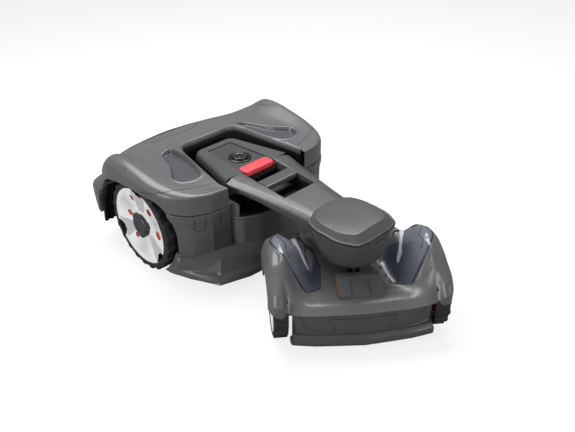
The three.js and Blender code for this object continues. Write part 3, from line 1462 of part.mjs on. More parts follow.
place('swivel_shaft', swivelShaft(), steel, front);
const pin = alongDrum(roll_pin_radius, -pin_reach, pin_reach).translate(0, 0, roll_axis_height);
place('roll_pin', pin, steel, front);
place('front_chassis', frontChassis(), black_plastic, front);
place('front_shell', frontShell(), cover_grey, front);
place('lens_right', lens(), smoke_lens, front);
place('lens_left', mirrored(lens()), smoke_lens, front);
place('light_guide_right', lightGuide(), clear_guide, front);
place('light_guide_left', mirrored(lightGuide()), clear_guide, front);
place('charge_block', chargeBlock(), bumper_grey, front);
place('contact_right', contact(-1), copper, front);
place('contact_left', contact(1), copper, front);
place('bumper', bumper(), bumper_grey, front);
place('bumper_plate', bumperPlate(), bumper_grey, front);

// The four wheels and their motors
const wheels = [
  {
    end: 'rear', parent: part, radius: rear_wheel_radius, width: rear_wheel_width, lugs: rear_lug_count,
    outer: rear_wheel_outer_plane, lead: 0, motor: hub_motor_radius,
    motor_start: motor_inner_plane + seat_gap,
  },
  {
    end: 'front', parent: front, radius: front_wheel_radius, width: front_wheel_width, lugs: front_lug_count,
    outer: front_wheel_outer_plane, lead: front_axle_lead, motor: front_motor_radius,
    motor_start: beam_half_width + seat_gap,
  },
];
for (const wheel of wheels) {
  const pieces = [
    ['tyre', tyre(wheel.radius, wheel.width, wheel.lugs), tyre_rubber],
    ['disc', wheelDisc(wheel.radius, wheel.width), silver_disc],
    ['insert_ring', insertRing(wheel.radius, wheel.width), orange_plastic],
    ['hub_cap', hubCap(wheel.radius, wheel.width), cap_plastic],
  ].map(([kind, geometry, finish_name]) =>
    [kind, stand(geometry, wheel.outer - wheel.width, -wheel.lead, wheel.radius), finish_name]);
  const shaft_end = wheel.outer - rim_gap - disc_dish - disc_fillet;
  const motor_end = wheel.outer - wheel.width - rim_gap;
  const motor = hubMotor(wheel.motor, wheel.motor_start, motor_end, shaft_end, wheel.radius)
    .translate(0, -wheel.lead, 0);
  pieces.push(['hub_motor', motor, steel]);
  for (const [kind, geometry, finish_used] of pieces) {
    place(`${kind}_${wheel.end}_left`, geometry, finish_used, wheel.parent);
    place(`${kind}_${wheel.end}_right`, mirrored(geometry), finish_used, wheel.parent);
  }
}

export default part;
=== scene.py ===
# %% [markdown]
# # A robotic lawn mower with a steered front body
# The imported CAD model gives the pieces, the bodies and how they move. This file adds the looks: smooth
# moulded shells, tyres, wheel discs, lamps and finishes, each one a surface worked out with numpy.

import json
import math

import bpy
import numpy as np
from mathutils import Matrix, Vector


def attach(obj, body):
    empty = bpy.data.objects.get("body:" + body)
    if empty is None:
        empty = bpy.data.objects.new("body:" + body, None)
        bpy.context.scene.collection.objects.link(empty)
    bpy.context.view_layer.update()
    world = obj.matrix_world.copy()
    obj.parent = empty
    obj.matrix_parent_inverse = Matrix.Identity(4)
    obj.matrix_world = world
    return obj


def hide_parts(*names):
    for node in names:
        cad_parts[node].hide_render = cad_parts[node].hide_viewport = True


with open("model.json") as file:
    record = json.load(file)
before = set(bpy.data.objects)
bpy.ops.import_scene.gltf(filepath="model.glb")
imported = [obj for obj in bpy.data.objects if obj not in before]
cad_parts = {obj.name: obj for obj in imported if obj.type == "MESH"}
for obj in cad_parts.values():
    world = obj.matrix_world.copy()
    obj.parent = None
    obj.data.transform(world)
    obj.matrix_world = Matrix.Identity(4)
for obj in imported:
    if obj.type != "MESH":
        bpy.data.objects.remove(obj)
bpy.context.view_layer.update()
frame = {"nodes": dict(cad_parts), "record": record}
nodes = frame["nodes"]
print("CAD nodes:", len(nodes))

# %% [markdown]
# ## Two coordinate systems
# All shapes are computed in millimetres from the rear axle, with the mower facing -Y. The frame's
# origin lies further forward, so one function moves an array of points into the frame. The front
# body is built straight, with its steering axis at zero, and is then turned as it stands here.

# %% From the maker's sizes into the frame
ORIGIN_LEAD = 219.906
STEER_LEAD = 458.0
STEER_ANGLE = math.radians(37.8)
METRES = 0.001
SIDES = ((1, "left"), (-1, "right"))


def in_frame(points):
    """Millimetres from the rear axle become metres from the frame's origin."""
    return (np.asarray(points, float) + (0, ORIGIN_LEAD, 0)) * METRES


def front_in_frame(points):
    """Turns (x, lead, z) of the straight front body by the steering angle round its axis."""
    x, lead, z = np.moveaxis(np.asarray(points, float), -1, 0)
    cosine, sine = math.cos(STEER_ANGLE), math.sin(STEER_ANGLE)
    ahead = STEER_LEAD + x * sine + lead * cosine
    return in_frame(np.stack([x * cosine - lead * sine, -ahead, z], -1))


print("origin ahead of the rear axle:", ORIGIN_LEAD, "mm; steering axis:", STEER_LEAD, "mm")

# %% [markdown]
# ## Lines and sections
# A moulding is drawn by a few good sections. `through` runs a smooth cubic through them, so a shell
# with thousands of points still comes from a small table.

# %% Curves through rows of points
def cubic(f, a, b, slope_a, slope_b):
    """The cubic from a to b that has the given slopes at its ends; f runs from 0 to 1."""
    return ((2 * f**3 - 3 * f**2 + 1) * a + (f**3 - 2 * f**2 + f) * slope_a
            + (3 * f**2 - 2 * f**3) * b + (f**3 - f**2) * slope_b)


def lengthened(rows):
    """One more row at each end, as far on as the last step was long."""
    return np.concatenate([2 * rows[:1] - rows[1:2], rows, 2 * rows[-1:] - rows[-2:-1]])


def blend_at(rows, u, tension=0.5):
    """On each span a cubic runs from row to row; its slope at a row is the step between the
    neighbours times the tension. u counts rows from zero and may hold fractions."""
    rows = np.asarray(rows, float)
    u = np.clip(u, 0, len(rows) - 1)
    i = np.minimum(u.astype(int), len(rows) - 2)
    f = (u - i).reshape(u.shape + (1,) * (rows.ndim - 1))
    longer = lengthened(rows)
    before, a, b, after = (longer[i + k] for k in range(4))
    return cubic(f, a, b, (b - before) * tension, (after - a) * tension)


def through(rows, count, tension=0.5):
    """count points, evenly spread over the spans, on the cubic through all rows."""
    return blend_at(rows, np.linspace(0, len(rows) - 1, count), tension)


print("five heights on a cubic through 0, 1, 0:", through([[0], [1], [0]], 5).ravel())

# %% [markdown]
# Moulded plastic has no sharp corners. `soften` rounds every corner of many sections at once, as a
# fillet does in a mould. The other helpers space points, ease a step and lay a line on a surface.

# %% Corners, spacing and heights
def soften(sections, radius, steps=4, closed=True):
    """Each corner becomes a parabola that leaves its two sides at most `radius` away from it.
    sections has the shape (..., corners, axes), and the result has steps points per corner."""
    p = np.asarray(sections, float)
    before, after = np.roll(p, 1, -2), np.roll(p, -1, -2)
    to_before, to_after = before - p, after - p
    length_b = np.linalg.norm(to_before, axis=-1, keepdims=True) + 1e-9
    length_a = np.linalg.norm(to_after, axis=-1, keepdims=True) + 1e-9
    reach = np.minimum(radius, 0.48 * np.minimum(length_b, length_a))
    if not closed:
        reach = reach.copy()
        reach[..., [0, -1], :] = 0
    start = p + to_before / length_b * reach
    end = p + to_after / length_a * reach
    t = np.linspace(0, 1, steps)[:, None]
    arcs = ((1 - t)**2 * start[..., None, :] + 2 * t * (1 - t) * p[..., None, :]
            + t**2 * end[..., None, :])
    return arcs.reshape(p.shape[:-2] + (-1, p.shape[-1]))


def smooth_step(low, high, value):
    """Rises from 0 at low to 1 at high along a cubic with level ends."""
    t = np.clip((value - low) / (high - low), 0, 1)
    return t * t * (3 - 2 * t)


def even(line, count):
    """count points at equal distances along a line: places come from the summed step lengths."""
    steps = np.linalg.norm(np.diff(line, axis=0), axis=1)
    way = np.concatenate([[0], np.cumsum(steps)])
    place = np.linspace(0, way[-1], count)
    return np.stack([np.interp(place, way, line[:, k]) for k in range(line.shape[1])], -1)


def spread(rows, count):
    """count rows by straight steps between the given rows, so that paired lines stay paired."""
    rows = np.asarray(rows, float)
    place = np.linspace(0, len(rows) - 1, count)
    i = np.minimum(place.astype(int), len(rows) - 2)
    f = (place - i).reshape((-1,) + (1,) * (rows.ndim - 1))
    return rows[i] * (1 - f) + rows[i + 1] * f


def at_height(plan_points, height):
    """Plan points get a third number: one height for all of them, or one for each."""
    height = np.broadcast_to(np.asarray(height, float), plan_points.shape[:-1])
    return np.concatenate([plan_points, height[..., None]], -1)


def settle(line, grid):
    """Moves each point onto a surface: the mean of its four nearest grid points, each weighted by
    one over a half plus its squared distance."""
    points = grid.reshape(-1, 3)
    square = (line**2).sum(-1)[:, None] + (points**2).sum(-1)[None] - 2 * line @ points.T
    near = np.argpartition(square, 4, axis=1)[:, :4]
    weight = 1 / (np.take_along_axis(square, near, 1).clip(1e-6) + 0.5)
    return (points[near] * weight[..., None]).sum(1) / weight.sum(1)[:, None]


print("a softened square has", len(soften([[0, 0], [9, 0], [9, 9], [0, 9]], 2)), "points")

# %% [markdown]
# ## From arrays to a mesh
# A grid of points becomes a skin of quads. Its faces are turned away from a point inside the piece,
# and where the skin is a tube its two ends get a fan of triangles round their middle.

# %% One function for every skin
def faces_of(grid, ring, loop, caps, holes):
    """Points, quads and fans of a grid. Each quad joins a point to its neighbours in the next row
    and column, and each fan joins an end row to the mean of its points."""
    rows, cols = grid.shape[:2]
    index = np.arange(rows * cols).reshape(rows, cols)
    if ring:
        index = np.hstack([index, index[:, :1]])
    if loop:
        index = np.vstack([index, index[:1]])
    quads = np.stack([index[:-1, :-1], index[1:, :-1], index[1:, 1:], index[:-1, 1:]], -1)
    if holes is not None:
        quads = quads[~holes]
    points = grid.reshape(-1, 3)
    fans = np.zeros((0, 3), int)
    if caps:
        first, last = index[0], index[-1]
        hub = np.full(len(first) - 1, len(points))
        fans = np.vstack([np.stack([hub, first[:-1], first[1:]], -1),
                          np.stack([hub + 1, last[1:], last[:-1]], -1)])
        points = np.vstack([points, grid[0].mean(0), grid[-1].mean(0)])
    return points, quads.reshape(-1, 4), fans


def turned_out(points, quads, fans, inside):
    """Faces that look away from a point inside. A quad's normal is the cross product of its
    diagonals; its product with the way from that point to the quad, summed up, has to be positive."""
    a, b, c, d = (points[quads[:, k]] for k in range(4))
    if (np.cross(c - a, d - b) * ((a + c) / 2 - inside)).sum() < 0:
        return quads[:, ::-1], fans[:, ::-1]
    return quads, fans


def skin(name, grid, body, slot, inside, stands_for=(), place=in_frame, ring=False, loop=False,
         caps=False, sharp=40, holes=None, tint=None):
    """A mesh from a grid, with its slot's finish. ring closes each row on itself, loop closes the
    rows, caps fills the first and last row, and place moves all points into the frame."""
    points, quads, fans = faces_of(place(grid), ring, loop, caps, holes)
    quads, fans = turned_out(points, quads, fans, place(inside))
    mesh = bpy.data.meshes.new(name)
    mesh.vertices.add(len(points))
    mesh.vertices.foreach_set("co", points.astype(np.float32).ravel())
    corners = np.concatenate([quads.ravel(), fans.ravel()]).astype(np.int32)
    sizes = np.concatenate([np.full(len(quads), 4), np.full(len(fans), 3)])
    mesh.loops.add(len(corners))
    mesh.loops.foreach_set("vertex_index", corners)
    mesh.polygons.add(len(sizes))
    starts = np.concatenate([[0], np.cumsum(sizes)[:-1]]).astype(np.int32)
    mesh.polygons.foreach_set("loop_start", starts)
    mesh.polygons.foreach_set("use_smooth", np.ones(len(sizes), bool))
    if tint is not None:
        values = np.zeros(len(points), np.float32)
        values[:tint.size] = tint.ravel()
        layer = mesh.attributes.new("tint", "FLOAT", "POINT")
        layer.data.foreach_set("value", values)
    mesh.update()
    mesh.validate()
    mesh.set_sharp_from_angle(angle=math.radians(sharp))
    mesh.materials.append(FINISHES[slot])
    piece = bpy.data.objects.new(name, mesh)
    bpy.context.scene.collection.objects.link(piece)
    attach(piece, body)
    if stands_for:
        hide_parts(*stands_for)


ring_quads = faces_of(np.zeros((2, 3, 3)), True, False, False, None)[1]
print("two closed rows of three points make", len(ring_quads), "quads")

# %% [markdown]
# Two shapes come up again and again. A turned piece carries its profile round an axis. A parting
# line between mouldings is a thin dark strip, laid on the surface where the two meet.

# %% Turned pieces and seams
SEAM_SECTION = ((-1, -0.6, 0), (-0.7, 0, 1), (0, 0, 1.15), (0.7, 0, 1), (1, -0.6, 0))


def revolve(profile, count):
    """Carries (radius, height) pairs round the Z axis: x = r cos t, y = r sin t."""
    radius, height = np.asarray(profile, float).T
    t = np.linspace(0, 2 * math.pi, count, endpoint=False)[:, None]
    return np.stack([radius * np.cos(t), radius * np.sin(t), height + 0 * t], -1)


def seam(name, line, normal, width, lift, body, slot="black", place=in_frame, closed=False):
    """A thin strip along a line on a surface. Across it runs tangent x normal; its edges lie a
    little under the surface, and its middle stands up by the lift."""
    normal = normal / np.linalg.norm(normal, axis=-1, keepdims=True)
    ahead = np.roll(line, -1, 0) - np.roll(line, 1, 0) if closed else np.gradient(line, axis=0)
    across = np.cross(ahead, normal)
    across /= np.linalg.norm(across, axis=-1, keepdims=True)
    rows = [line + across * width / 2 * side + normal * (sunk + lift * share)
            for side, sunk, share in SEAM_SECTION]
    below = line.mean(0) - normal.mean(0) * 400
    skin(name, np.stack(rows), body, slot, below, place=place, ring=closed, sharp=60)


print("a turned disc:", revolve([[0, 1], [1, 1]], 12).shape)

# %% [markdown]
# ## Finishes
# Nearly all of the mower is moulded plastic with a fine spark-eroded grain. Grain and mottle are one
# node group with inputs for their sizes, used by every finish with its own values.

# %% The grain of a moulded surface
def srgb(*values):
    """The linear colour of 8-bit screen values: ((v + 0.055) / 1.055) to the power 2.4."""
    v = np.array(values) / 255.0
    linear = np.where(v > 0.04045, ((v + 0.055) / 1.055)**2.4, v / 12.92)
    return tuple(linear) + (1.0,)


def grain_group():
    """Two noises over the same place: a fine one for the grain and a broad one for the mottle."""
    group = bpy.data.node_groups.new("moulded_grain", "ShaderNodeTree")
    inputs = (("Vector", "NodeSocketVector", None), ("Grain size", "NodeSocketFloat", 900.0),
              ("Mottle size", "NodeSocketFloat", 14.0))
    for name, kind, value in inputs:
        socket = group.interface.new_socket(name, in_out="INPUT", socket_type=kind)
        if value is not None:
            socket.default_value = value
    for name in ("Grain", "Mottle"):
        group.interface.new_socket(name, in_out="OUTPUT", socket_type="NodeSocketFloat")
    inlet = group.nodes.new("NodeGroupInput")
    outlet = group.nodes.new("NodeGroupOutput")
    for source, target, detail in (("Grain size", "Grain", 2.0), ("Mottle size", "Mottle", 4.0)):
        noise = group.nodes.new("ShaderNodeTexNoise")
        noise.inputs["Detail"].default_value = detail
        group.links.new(inlet.outputs["Vector"], noise.inputs["Vector"])
        group.links.new(inlet.outputs[source], noise.inputs["Scale"])
        group.links.new(noise.outputs["Fac"], outlet.inputs[target])
    return group


GRAIN = grain_group()
print("sockets of the grain:", [socket.name for socket in GRAIN.interface.items_tree])

# %% [markdown]
# Every finish is one Principled BSDF. The mottle varies its colour and roughness a little, the grain
# raises it, and where a mesh holds a tint the colour goes over to a second one.

# %% How a finish is made
BUMP_DEPTH = 0.0004
COAT_ROUGHNESS = 0.08


def colour_mix(tree, factor, low=None, high=None):
    """Mixes two colours: low where the factor is 0, high where it is 1."""
    mix = tree.nodes.new("ShaderNodeMix")
    mix.data_type = "RGBA"
    for key, colour in (("A", low), ("B", high)):
        if colour is not None:
            mix.inputs[key].default_value = colour
    tree.links.new(factor, mix.inputs["Factor"])
    return mix


def finish(name, colour, roughness, grain=0.12, vary=0.06, grain_size=900.0, metallic=0.0, coat=0.0,
           tint_colour=None, rough_vary=0.08):
    """Colour = base times 1 +/- vary, and roughness = base +/- rough_vary, both by the mottle; the
    grain is the height of a bump."""
    material = bpy.data.materials.new(name)
    material.use_nodes = True
    tree = material.node_tree
    shader = tree.nodes["Principled BSDF"]
    shader.inputs["Metallic"].default_value = metallic
    shader.inputs["Coat Weight"].default_value = coat
    shader.inputs["Coat Roughness"].default_value = COAT_ROUGHNESS
    place = tree.nodes.new("ShaderNodeTexCoord")
    effect = tree.nodes.new("ShaderNodeGroup")
    effect.node_tree = GRAIN
    effect.inputs["Grain size"].default_value = grain_size
    tree.links.new(place.outputs["Object"], effect.inputs["Vector"])
    light = [min(c * (1 + vary), 1.0) for c in colour[:3]] + [1.0]
    dark = [c * (1 - vary) for c in colour[:3]] + [1.0]
    colours = colour_mix(tree, effect.outputs["Mottle"], dark, light)
    if tint_colour is not None:
        tint = tree.nodes.new("ShaderNodeAttribute")
        tint.attribute_name = "tint"
        tinted = colour_mix(tree, tint.outputs["Fac"], high=tint_colour)
        tree.links.new(colours.outputs["Result"], tinted.inputs["A"])
        colours = tinted
    tree.links.new(colours.outputs["Result"], shader.inputs["Base Color"])
    rough = tree.nodes.new("ShaderNodeMapRange")
    rough.inputs["To Min"].default_value = roughness - rough_vary
    rough.inputs["To Max"].default_value = roughness + rough_vary
    tree.links.new(effect.outputs["Mottle"], rough.inputs["Value"])
    tree.links.new(rough.outputs["Result"], shader.inputs["Roughness"])
    bump = tree.nodes.new("ShaderNodeBump")
    bump.inputs["Strength"].default_value = grain
    bump.inputs["Distance"].default_value = BUMP_DEPTH
    tree.links.new(effect.outputs["Grain"], bump.inputs["Height"])
    tree.links.new(bump.outputs["Normal"], shader.inputs["Normal"])
    return material


print("depth of the grain:", BUMP_DEPTH, "m")

# %% [markdown]
# The colours were read off the photograph: mid greys for the shells, darker greys for panel
# and caps, near black for the hidden plastic, and a silver, an orange and a red as accents.

# %% One material for each slot
FINISHES = {
    "cover": finish("cover_grey", srgb(94, 95, 97), 0.30, tint_colour=srgb(76, 77, 83)),
    "body": finish("body_grey", srgb(88, 89, 91), 0.30),
    "arm": finish("arm_grey", srgb(76, 77, 79), 0.30),
    "panel": finish("panel_grey", srgb(54, 55, 57), 0.46, grain=0.2),
    "bumper": finish("bumper_grey", srgb(76, 77, 79), 0.34, grain=0.2),
    "black": finish("black_plastic", srgb(16, 16, 17), 0.55),
    "black_gloss": finish("black_half_gloss", srgb(20, 20, 22), 0.22, grain=0.02),
    "stop_red": finish("stop_red", srgb(246, 66, 74), 0.45, vary=0.03),
    # the smoked lens's tint colour is a painted sheen towards the lens's outer end
    "smoke": finish("smoked_lens", srgb(64, 67, 80), 0.20, grain=0.0, coat=0.35,
                    tint_colour=srgb(128, 130, 138), rough_vary=0.02),
    "guide": finish("frosted_guide", srgb(206, 207, 210), 0.22, grain=0.05, coat=0.6),
    "copper": finish("copper_strip", srgb(176, 118, 82), 0.34, metallic=0.9, grain=0.05),
    "tyre": finish("tyre_rubber", srgb(40, 40, 42), 0.74, grain=0.5, grain_size=500.0),
    # the silver's tint colour darkens corridors and folds: partly a darker paint, partly painted shade
    "silver": finish("silver_paint", srgb(252, 252, 253), 0.30, vary=0.02, grain=0.04,
                     tint_colour=srgb(158, 159, 163)),
    "orange": finish("orange_plastic", srgb(240, 104, 52), 0.46),
    "cap": finish("cap_grey", srgb(52, 57, 60), 0.36),
    "steel": finish("turned_steel", srgb(150, 152, 156), 0.34, metallic=0.9, grain=0.05),
    "motor": finish("motor_coat", srgb(44, 52, 62), 0.40),
    "battery": finish("battery_wrap", srgb(46, 56, 72), 0.42),
    "board": finish("board_green", srgb(36, 96, 56), 0.35),
}
for part in frame["record"]["subparts"]:
    node = nodes[part["node"]]
    node.data.materials.clear()
    node.data.materials.append(FINISHES[part["material_slot"]])
print("finishes:", len(FINISHES))

# %% [markdown]
# ## The rear cover
# The cover is a U in the plan. Each station has a point on the gap round the console and one on the
# outside; four heights make its section. The stations run from one front corner round the back to
# the other, so that half of them can be drawn and the rest mirrored.

# %% Stations of the cover
HALF_WIDTH, FRONT_LEAD, REAR_REACH = 277.0, 190.0, 243.0
CREST, BELT, GROOVE, WHEEL = 283.0, 200.0, 3.0, 119.0
STATION_SHARES = np.array([
    [0.00, 1.00, 0.460, -0.995], [0.03, 1.00, 0.640, -0.960], [0.08, 1.00, 0.800, -0.842],
    [0.16, 1.00, 0.906, -0.620], [0.28, 1.00, 0.970, -0.316], [0.46, 1.00, 0.990, 0.000],
    [0.66, 1.00, 1.000, 0.250], [0.84, 1.00, 0.990, 0.450], [0.95, 0.97, 0.925, 0.640],
    [1.00, 0.80, 0.760, 0.800], [1.00, 0.45, 0.430, 0.930], [1.00, 0.00, 0.000, 0.985]])
HEIGHT_SHARES = np.array([
    [0.890, 0.887, 0.887, 0.878], [0.892, 0.888, 0.887, 0.876], [0.895, 0.890, 0.890, 0.872],
    [0.900, 0.896, 0.905, 0.876], [0.904, 0.900, 0.933, 0.893], [0.908, 0.897, 0.970, 0.915],
    [0.915, 0.890, 1.000, 0.930], [0.926, 0.885, 0.990, 0.910], [0.930, 0.885, 0.890, 0.765],
    [0.933, 0.900, 0.815, 0.725], [0.933, 0.915, 0.790, 0.735], [0.933, 0.925, 0.775, 0.730]])


def plan(x_share, y_share):
    """Shares of half width and of reach, forwards or backwards, become millimetres."""
    reach = np.where(y_share < 0, FRONT_LEAD, REAR_REACH)
    return np.stack([x_share * HALF_WIDTH, y_share * reach], -1)


def whole(half):
    """The half drawn on the mower's left, and then its mirror image back to the start."""
    other = half[:-1][::-1].copy()
    other[..., 0] *= -1
    return np.concatenate([half, other])


print("stations of half the cover:", len(STATION_SHARES))

# %% [markdown]
# The wheel arch cuts into both cover and body. It is one smooth line in the side view, given in
# shares of the wheel's radius, and it ends lower than the axle behind the wheel.

# %% Wheel arch
ARCH_SHARES = np.array([[-1.10, 0.20], [-1.00, 0.62], [-0.78, 0.86], [-0.40, 0.94], [0.30, 0.95],
                        [0.86, 0.82], [1.22, 0.45], [1.40, -0.10], [1.42, -0.23]])
arch_line = through(ARCH_SHARES, 200) * WHEEL + (0, WHEEL)


def arch_height(y):
    """Height of the wheel arch over the place y, from its side view."""
    return np.interp(y, arch_line[:, 0], arch_line[:, 1], left=0, right=0)


print("top of the wheel arch:", round(float(arch_line[:, 1].max()), 1), "mm")

# %% [markdown]
# Every section has thirteen corners. Their fillets are small at the rim and large over the shoulder,
# as the mould is polished there, and the rows are spread again so that the mesh stays even.

# %% The cover's skin
GAP_X, GAP_Y = (131, 91), (-171, 45)
RIM_SHARE, ARCH_FROM_X = 0.02, 190
ACROSS = np.array([[0.03, 0, 0, 0], [0.28, 0, 1, 1], [0.52, 1, 2, 0.18], [0.70, 1, 2, 0.72],
                   [0.84, 2, 2, 0], [0.93, 2, 3, 0.38], [0.985, 2, 3, 1]])
FILLETS = np.array([0, 3, 3.5, 3.5, 16, 16, 16, 16, 12, 6, 6, 7, 0.0])[:, None]
along, lateral, x_share, y_share = STATION_SHARES.T
gap_plan = np.stack([np.interp(along, (0, 1), GAP_X) * lateral, np.interp(along, (0, 1), GAP_Y)], -1)
side_plan = plan(x_share, y_share)
tops = HEIGHT_SHARES * CREST
ways = np.concatenate([[0, 0, 0], ACROSS[:, 0], [1, 1, 1]])
mixed = np.stack([tops[:, int(near)] * (1 - mix) + tops[:, int(far)] * mix
                  for near, far, mix in ACROSS[:, 1:]], 1)
low = BELT + GROOVE
rim = tops[:, :1] - RIM_SHARE * CREST
foot = np.full_like(rim, low)
levels = np.hstack([foot, (rim + low) / 2, rim, mixed, foot.repeat(3, 1)])
plans = gap_plan[:, None] + (side_plan - gap_plan)[:, None] * ways[:, None]
run = through(whole(np.concatenate([plans, levels[..., None]], -1)), 460, 0.4)
arch_edge = np.where(np.abs(run[:, -1, 0]) > ARCH_FROM_X, arch_height(run[:, -1, 1]), 0)
edge = np.maximum(low, arch_edge)
shoulder = run[:, -4, 2]
run[:, -3, 2] = shoulder * 0.72 + edge * 0.28
run[:, -2, 2] = shoulder * 0.3 + edge * 0.7
run[:, -1, 2] = edge
cover = soften(run, FILLETS, 7, closed=False)
lengths = np.linalg.norm(np.diff(cover, axis=1), axis=-1)
way_across = np.concatenate([[0], np.cumsum(lengths.mean(0))])
places = np.interp(np.linspace(0, way_across[-1], 200), way_across, np.arange(cover.shape[1]))
cover = np.moveaxis(blend_at(np.moveaxis(cover, 1, 0), places, 0.5), 0, 1)
print("cover before the pockets:", cover.shape)

# %% [markdown]
# Two shallow pockets are pressed into the top. How deep each point goes depends on its distance to
# the pocket's outline, and a small ridge outside the line gives the lip that catches the light.

# %% Pockets and hem
POCKET_SHARES = np.array([[0.397, 0.245], [0.500, 0.240], [0.596, -0.105], [0.722, -0.380],
                          [0.704, -0.516], [0.596, -0.580], [0.487, -0.547], [0.426, -0.316],
                          [0.390, 0.000]])
POCKET_FLOOR = 0.868 * CREST
LIP_HEIGHT, LIP_OUT, LIP_WIDTH = 1.3, 3.5, 2.6
HEM_SHARE, HEM_RISE = 0.986, 9


def inside_distance(points, outline):
    """Signed distance of plan points to a closed outline, positive inside: the nearest of all
    its sides, with the sign from how often a ray to the right crosses the outline."""
    flat = points.reshape(-1, 1, 2)
    a, b = outline, np.roll(outline, -1, 0)
    side = b - a
    t = np.clip(((flat - a) * side).sum(-1) / (side**2).sum(-1), 0, 1)
    gap = np.linalg.norm(flat - a - t[..., None] * side, axis=-1).min(-1)
    spans = (a[:, 1] > flat[..., 1]) != (b[:, 1] > flat[..., 1])
    rise = np.where(side[:, 1] == 0, 1e-9, side[:, 1])
    crossing = a[:, 0] + (flat[..., 1] - a[:, 1]) * side[:, 0] / rise
    odd = (spans & (flat[..., 0] < crossing)).sum(-1) % 2
    return np.where(odd == 1, gap, -gap).reshape(points.shape[:-1])


pocket = soften(plan(*POCKET_SHARES.T), 16, 6)
folded = np.stack([np.abs(cover[..., 0]), cover[..., 1]], -1)
depth = inside_distance(folded, pocket)
sunk = smooth_step(-1.0, 4.5, depth)
on_top = cover[..., 2] > POCKET_FLOOR
cover[..., 2] += np.where(on_top, LIP_HEIGHT * np.exp(-((depth + LIP_OUT) / LIP_WIDTH)**2), 0)
cover[..., 2] -= sunk * np.where(on_top, cover[..., 2] - POCKET_FLOOR, 0)
hem_in = cover[:, -1:] * (HEM_SHARE, HEM_SHARE, 1)
cover = np.concatenate([cover, hem_in, hem_in + (0, 0, HEM_RISE)], 1)
pocket_tint = np.concatenate([sunk * on_top, np.zeros((len(cover), 2))], 1)
skin("cover_shell", cover, "cover", "cover", [0, 60, 120], ["top_cover"], sharp=50, tint=pocket_tint)
print("cover shell:", cover.shape)

# %% [markdown]
# Thin dark seams divide the cover: one on each shoulder over the wheel, one on each side from the
# wheel's front to the gap, and one across the tail. Each is laid on the finished skin.

# %% Seams of the cover
SHOULDER_SEAM = [(229, 100, 262), (234, 60, 262), (244, 36, 256), (252, 12, 248)]
FRONT_SEAM = [(262, -45, 240), (250, -96, 248), (224, -119, 250), (180, -138, 250), (136, -152, 250)]
TAIL_SEAM = [(44, 159, 250), (33, 131, 255), (-12, 114, 258), (-85, 126, 258), (-118, 137, 258)]
cover_top = cover[:, 25:-3]
cover_seams = {f"{key}_{name}": np.array(line) * (side, 1, 1) for side, name in SIDES
               for key, line in (("shoulder", SHOULDER_SEAM), ("front", FRONT_SEAM))}
cover_seams["tail"] = np.array(TAIL_SEAM)
for key, line in cover_seams.items():
    laid = settle(through(line, 60), cover_top)
    seam(f"seam_{key}", laid, np.array([0, 0, 1.0]) + 0 * laid, 1.5, 0.35, "cover")
print("seams:", len(cover_seams))

# %% [markdown]
# Round the console runs a deep black channel. It is one strip through four lines: down the
# cover's side, across the bottom, and up the console's side to just under its rim.

# %% Channel round the console
CONSOLE_OUTER = np.array([[107, -152], [63.7, 27], [-63.7, 27], [-107, -152]])
GAP_OUTER = np.array([[129.8, -171], [89.8, 43.8], [-89.8, 43.8], [-129.8, -171]])
CHANNEL_BENDS = np.array([0, 26, 26, 0])[:, None]
CHANNEL_FLOOR, CHANNEL_INNER = 206, 229
gap_path = spread(soften(GAP_OUTER, CHANNEL_BENDS, 9, closed=False), 160)
grown_console = CONSOLE_OUTER + np.sign(CONSOLE_OUTER)
console_path = spread(soften(grown_console, CHANNEL_BENDS, 9, closed=False), 160)
rim_height = 238 + 13 * (gap_path[:, 1] - GAP_Y[0]) / (GAP_Y[1] - GAP_Y[0])
channel = np.stack([at_height(gap_path, rim_height), at_height(gap_path, CHANNEL_FLOOR),
                    at_height(console_path, CHANNEL_FLOOR), at_height(console_path, CHANNEL_INNER)], 1)
skin("gap_channel", channel, "rear_unit", "black", [0, -50, 100])
print("channel:", channel.shape)

# %% [markdown]
# ## The rear body
# Below the belt the same plan goes straight down, stands out a little at the rear corners, and has a
# band under the belt. The wheel arch ends it in front of the wheel and begins it again behind.

# %% Side walls of the rear body
FLARE_SHARES = np.array([[1.003, 0.500], [0.995, 0.735], [0.905, 0.900], [0.470, 1.010], [0.000, 1.040]])
WALL_ROWS = np.array([[90, 0.95, -4.0], [110, 0.97, -3.4], [159, 1.0, -3.0], [176, 0.5, -1.8],
                      [179, 0.4, -1.6], [181, 0.35, 0.6], [191, 0.0, 0.7], [199, 0.0, 0.5],
                      [200.2, 0.0, -1.0]])
WALL_OUT, ARCH_RETURN = 0.9, 9


def outline_at(flare, push):
    """Half outline at one height: plain stations mixed with the flared ones, pushed outwards."""
    plain = side_plan.copy()
    plain[-5:] += (plan(*FLARE_SHARES.T) - plain[-5:]) * flare
    line = through(plain, 300, 0.4)
    reach = np.linalg.norm(line, axis=-1, keepdims=True)
    return line * (reach + push) / reach


def wall_grid(first, last, count, table=WALL_ROWS, level_count=30):
    """Rows of the wall at several heights; first and last give where the wall starts and ends,
    as functions of height, along the half outline."""
    rows = []
    for height, flare, push in through(table, level_count, 0.3):
        line = outline_at(flare, push + WALL_OUT)
        place = np.linspace(first(line, height), last(line, height), count)
        steps = np.arange(len(line))
        flat = np.stack([np.interp(place, steps, line[:, k]) for k in (0, 1)], -1)
        rows.append(at_height(flat, height))
    return np.array(rows)


def from_front(line, height):
    """The wall starts at the outline's first point."""
    return 0


def arch_front(line, height):
    """Place on the outline where the arch's front side has this height."""
    y = np.interp(height, arch_line[:60, 1], arch_line[:60, 0])
    return np.interp(y, line[:, 1], np.arange(len(line)))


def arch_rear(line, height):
    """Place on the outline where the arch's rear side has this height."""
    y = np.interp(height, arch_line[90:, 1][::-1], arch_line[90:, 0][::-1])
    return np.interp(y, line[:, 1], np.arange(len(line)))


def to_middle(line, height):
    """The wall ends at the outline's last point, in the middle of the tail."""
    return len(line) - 1


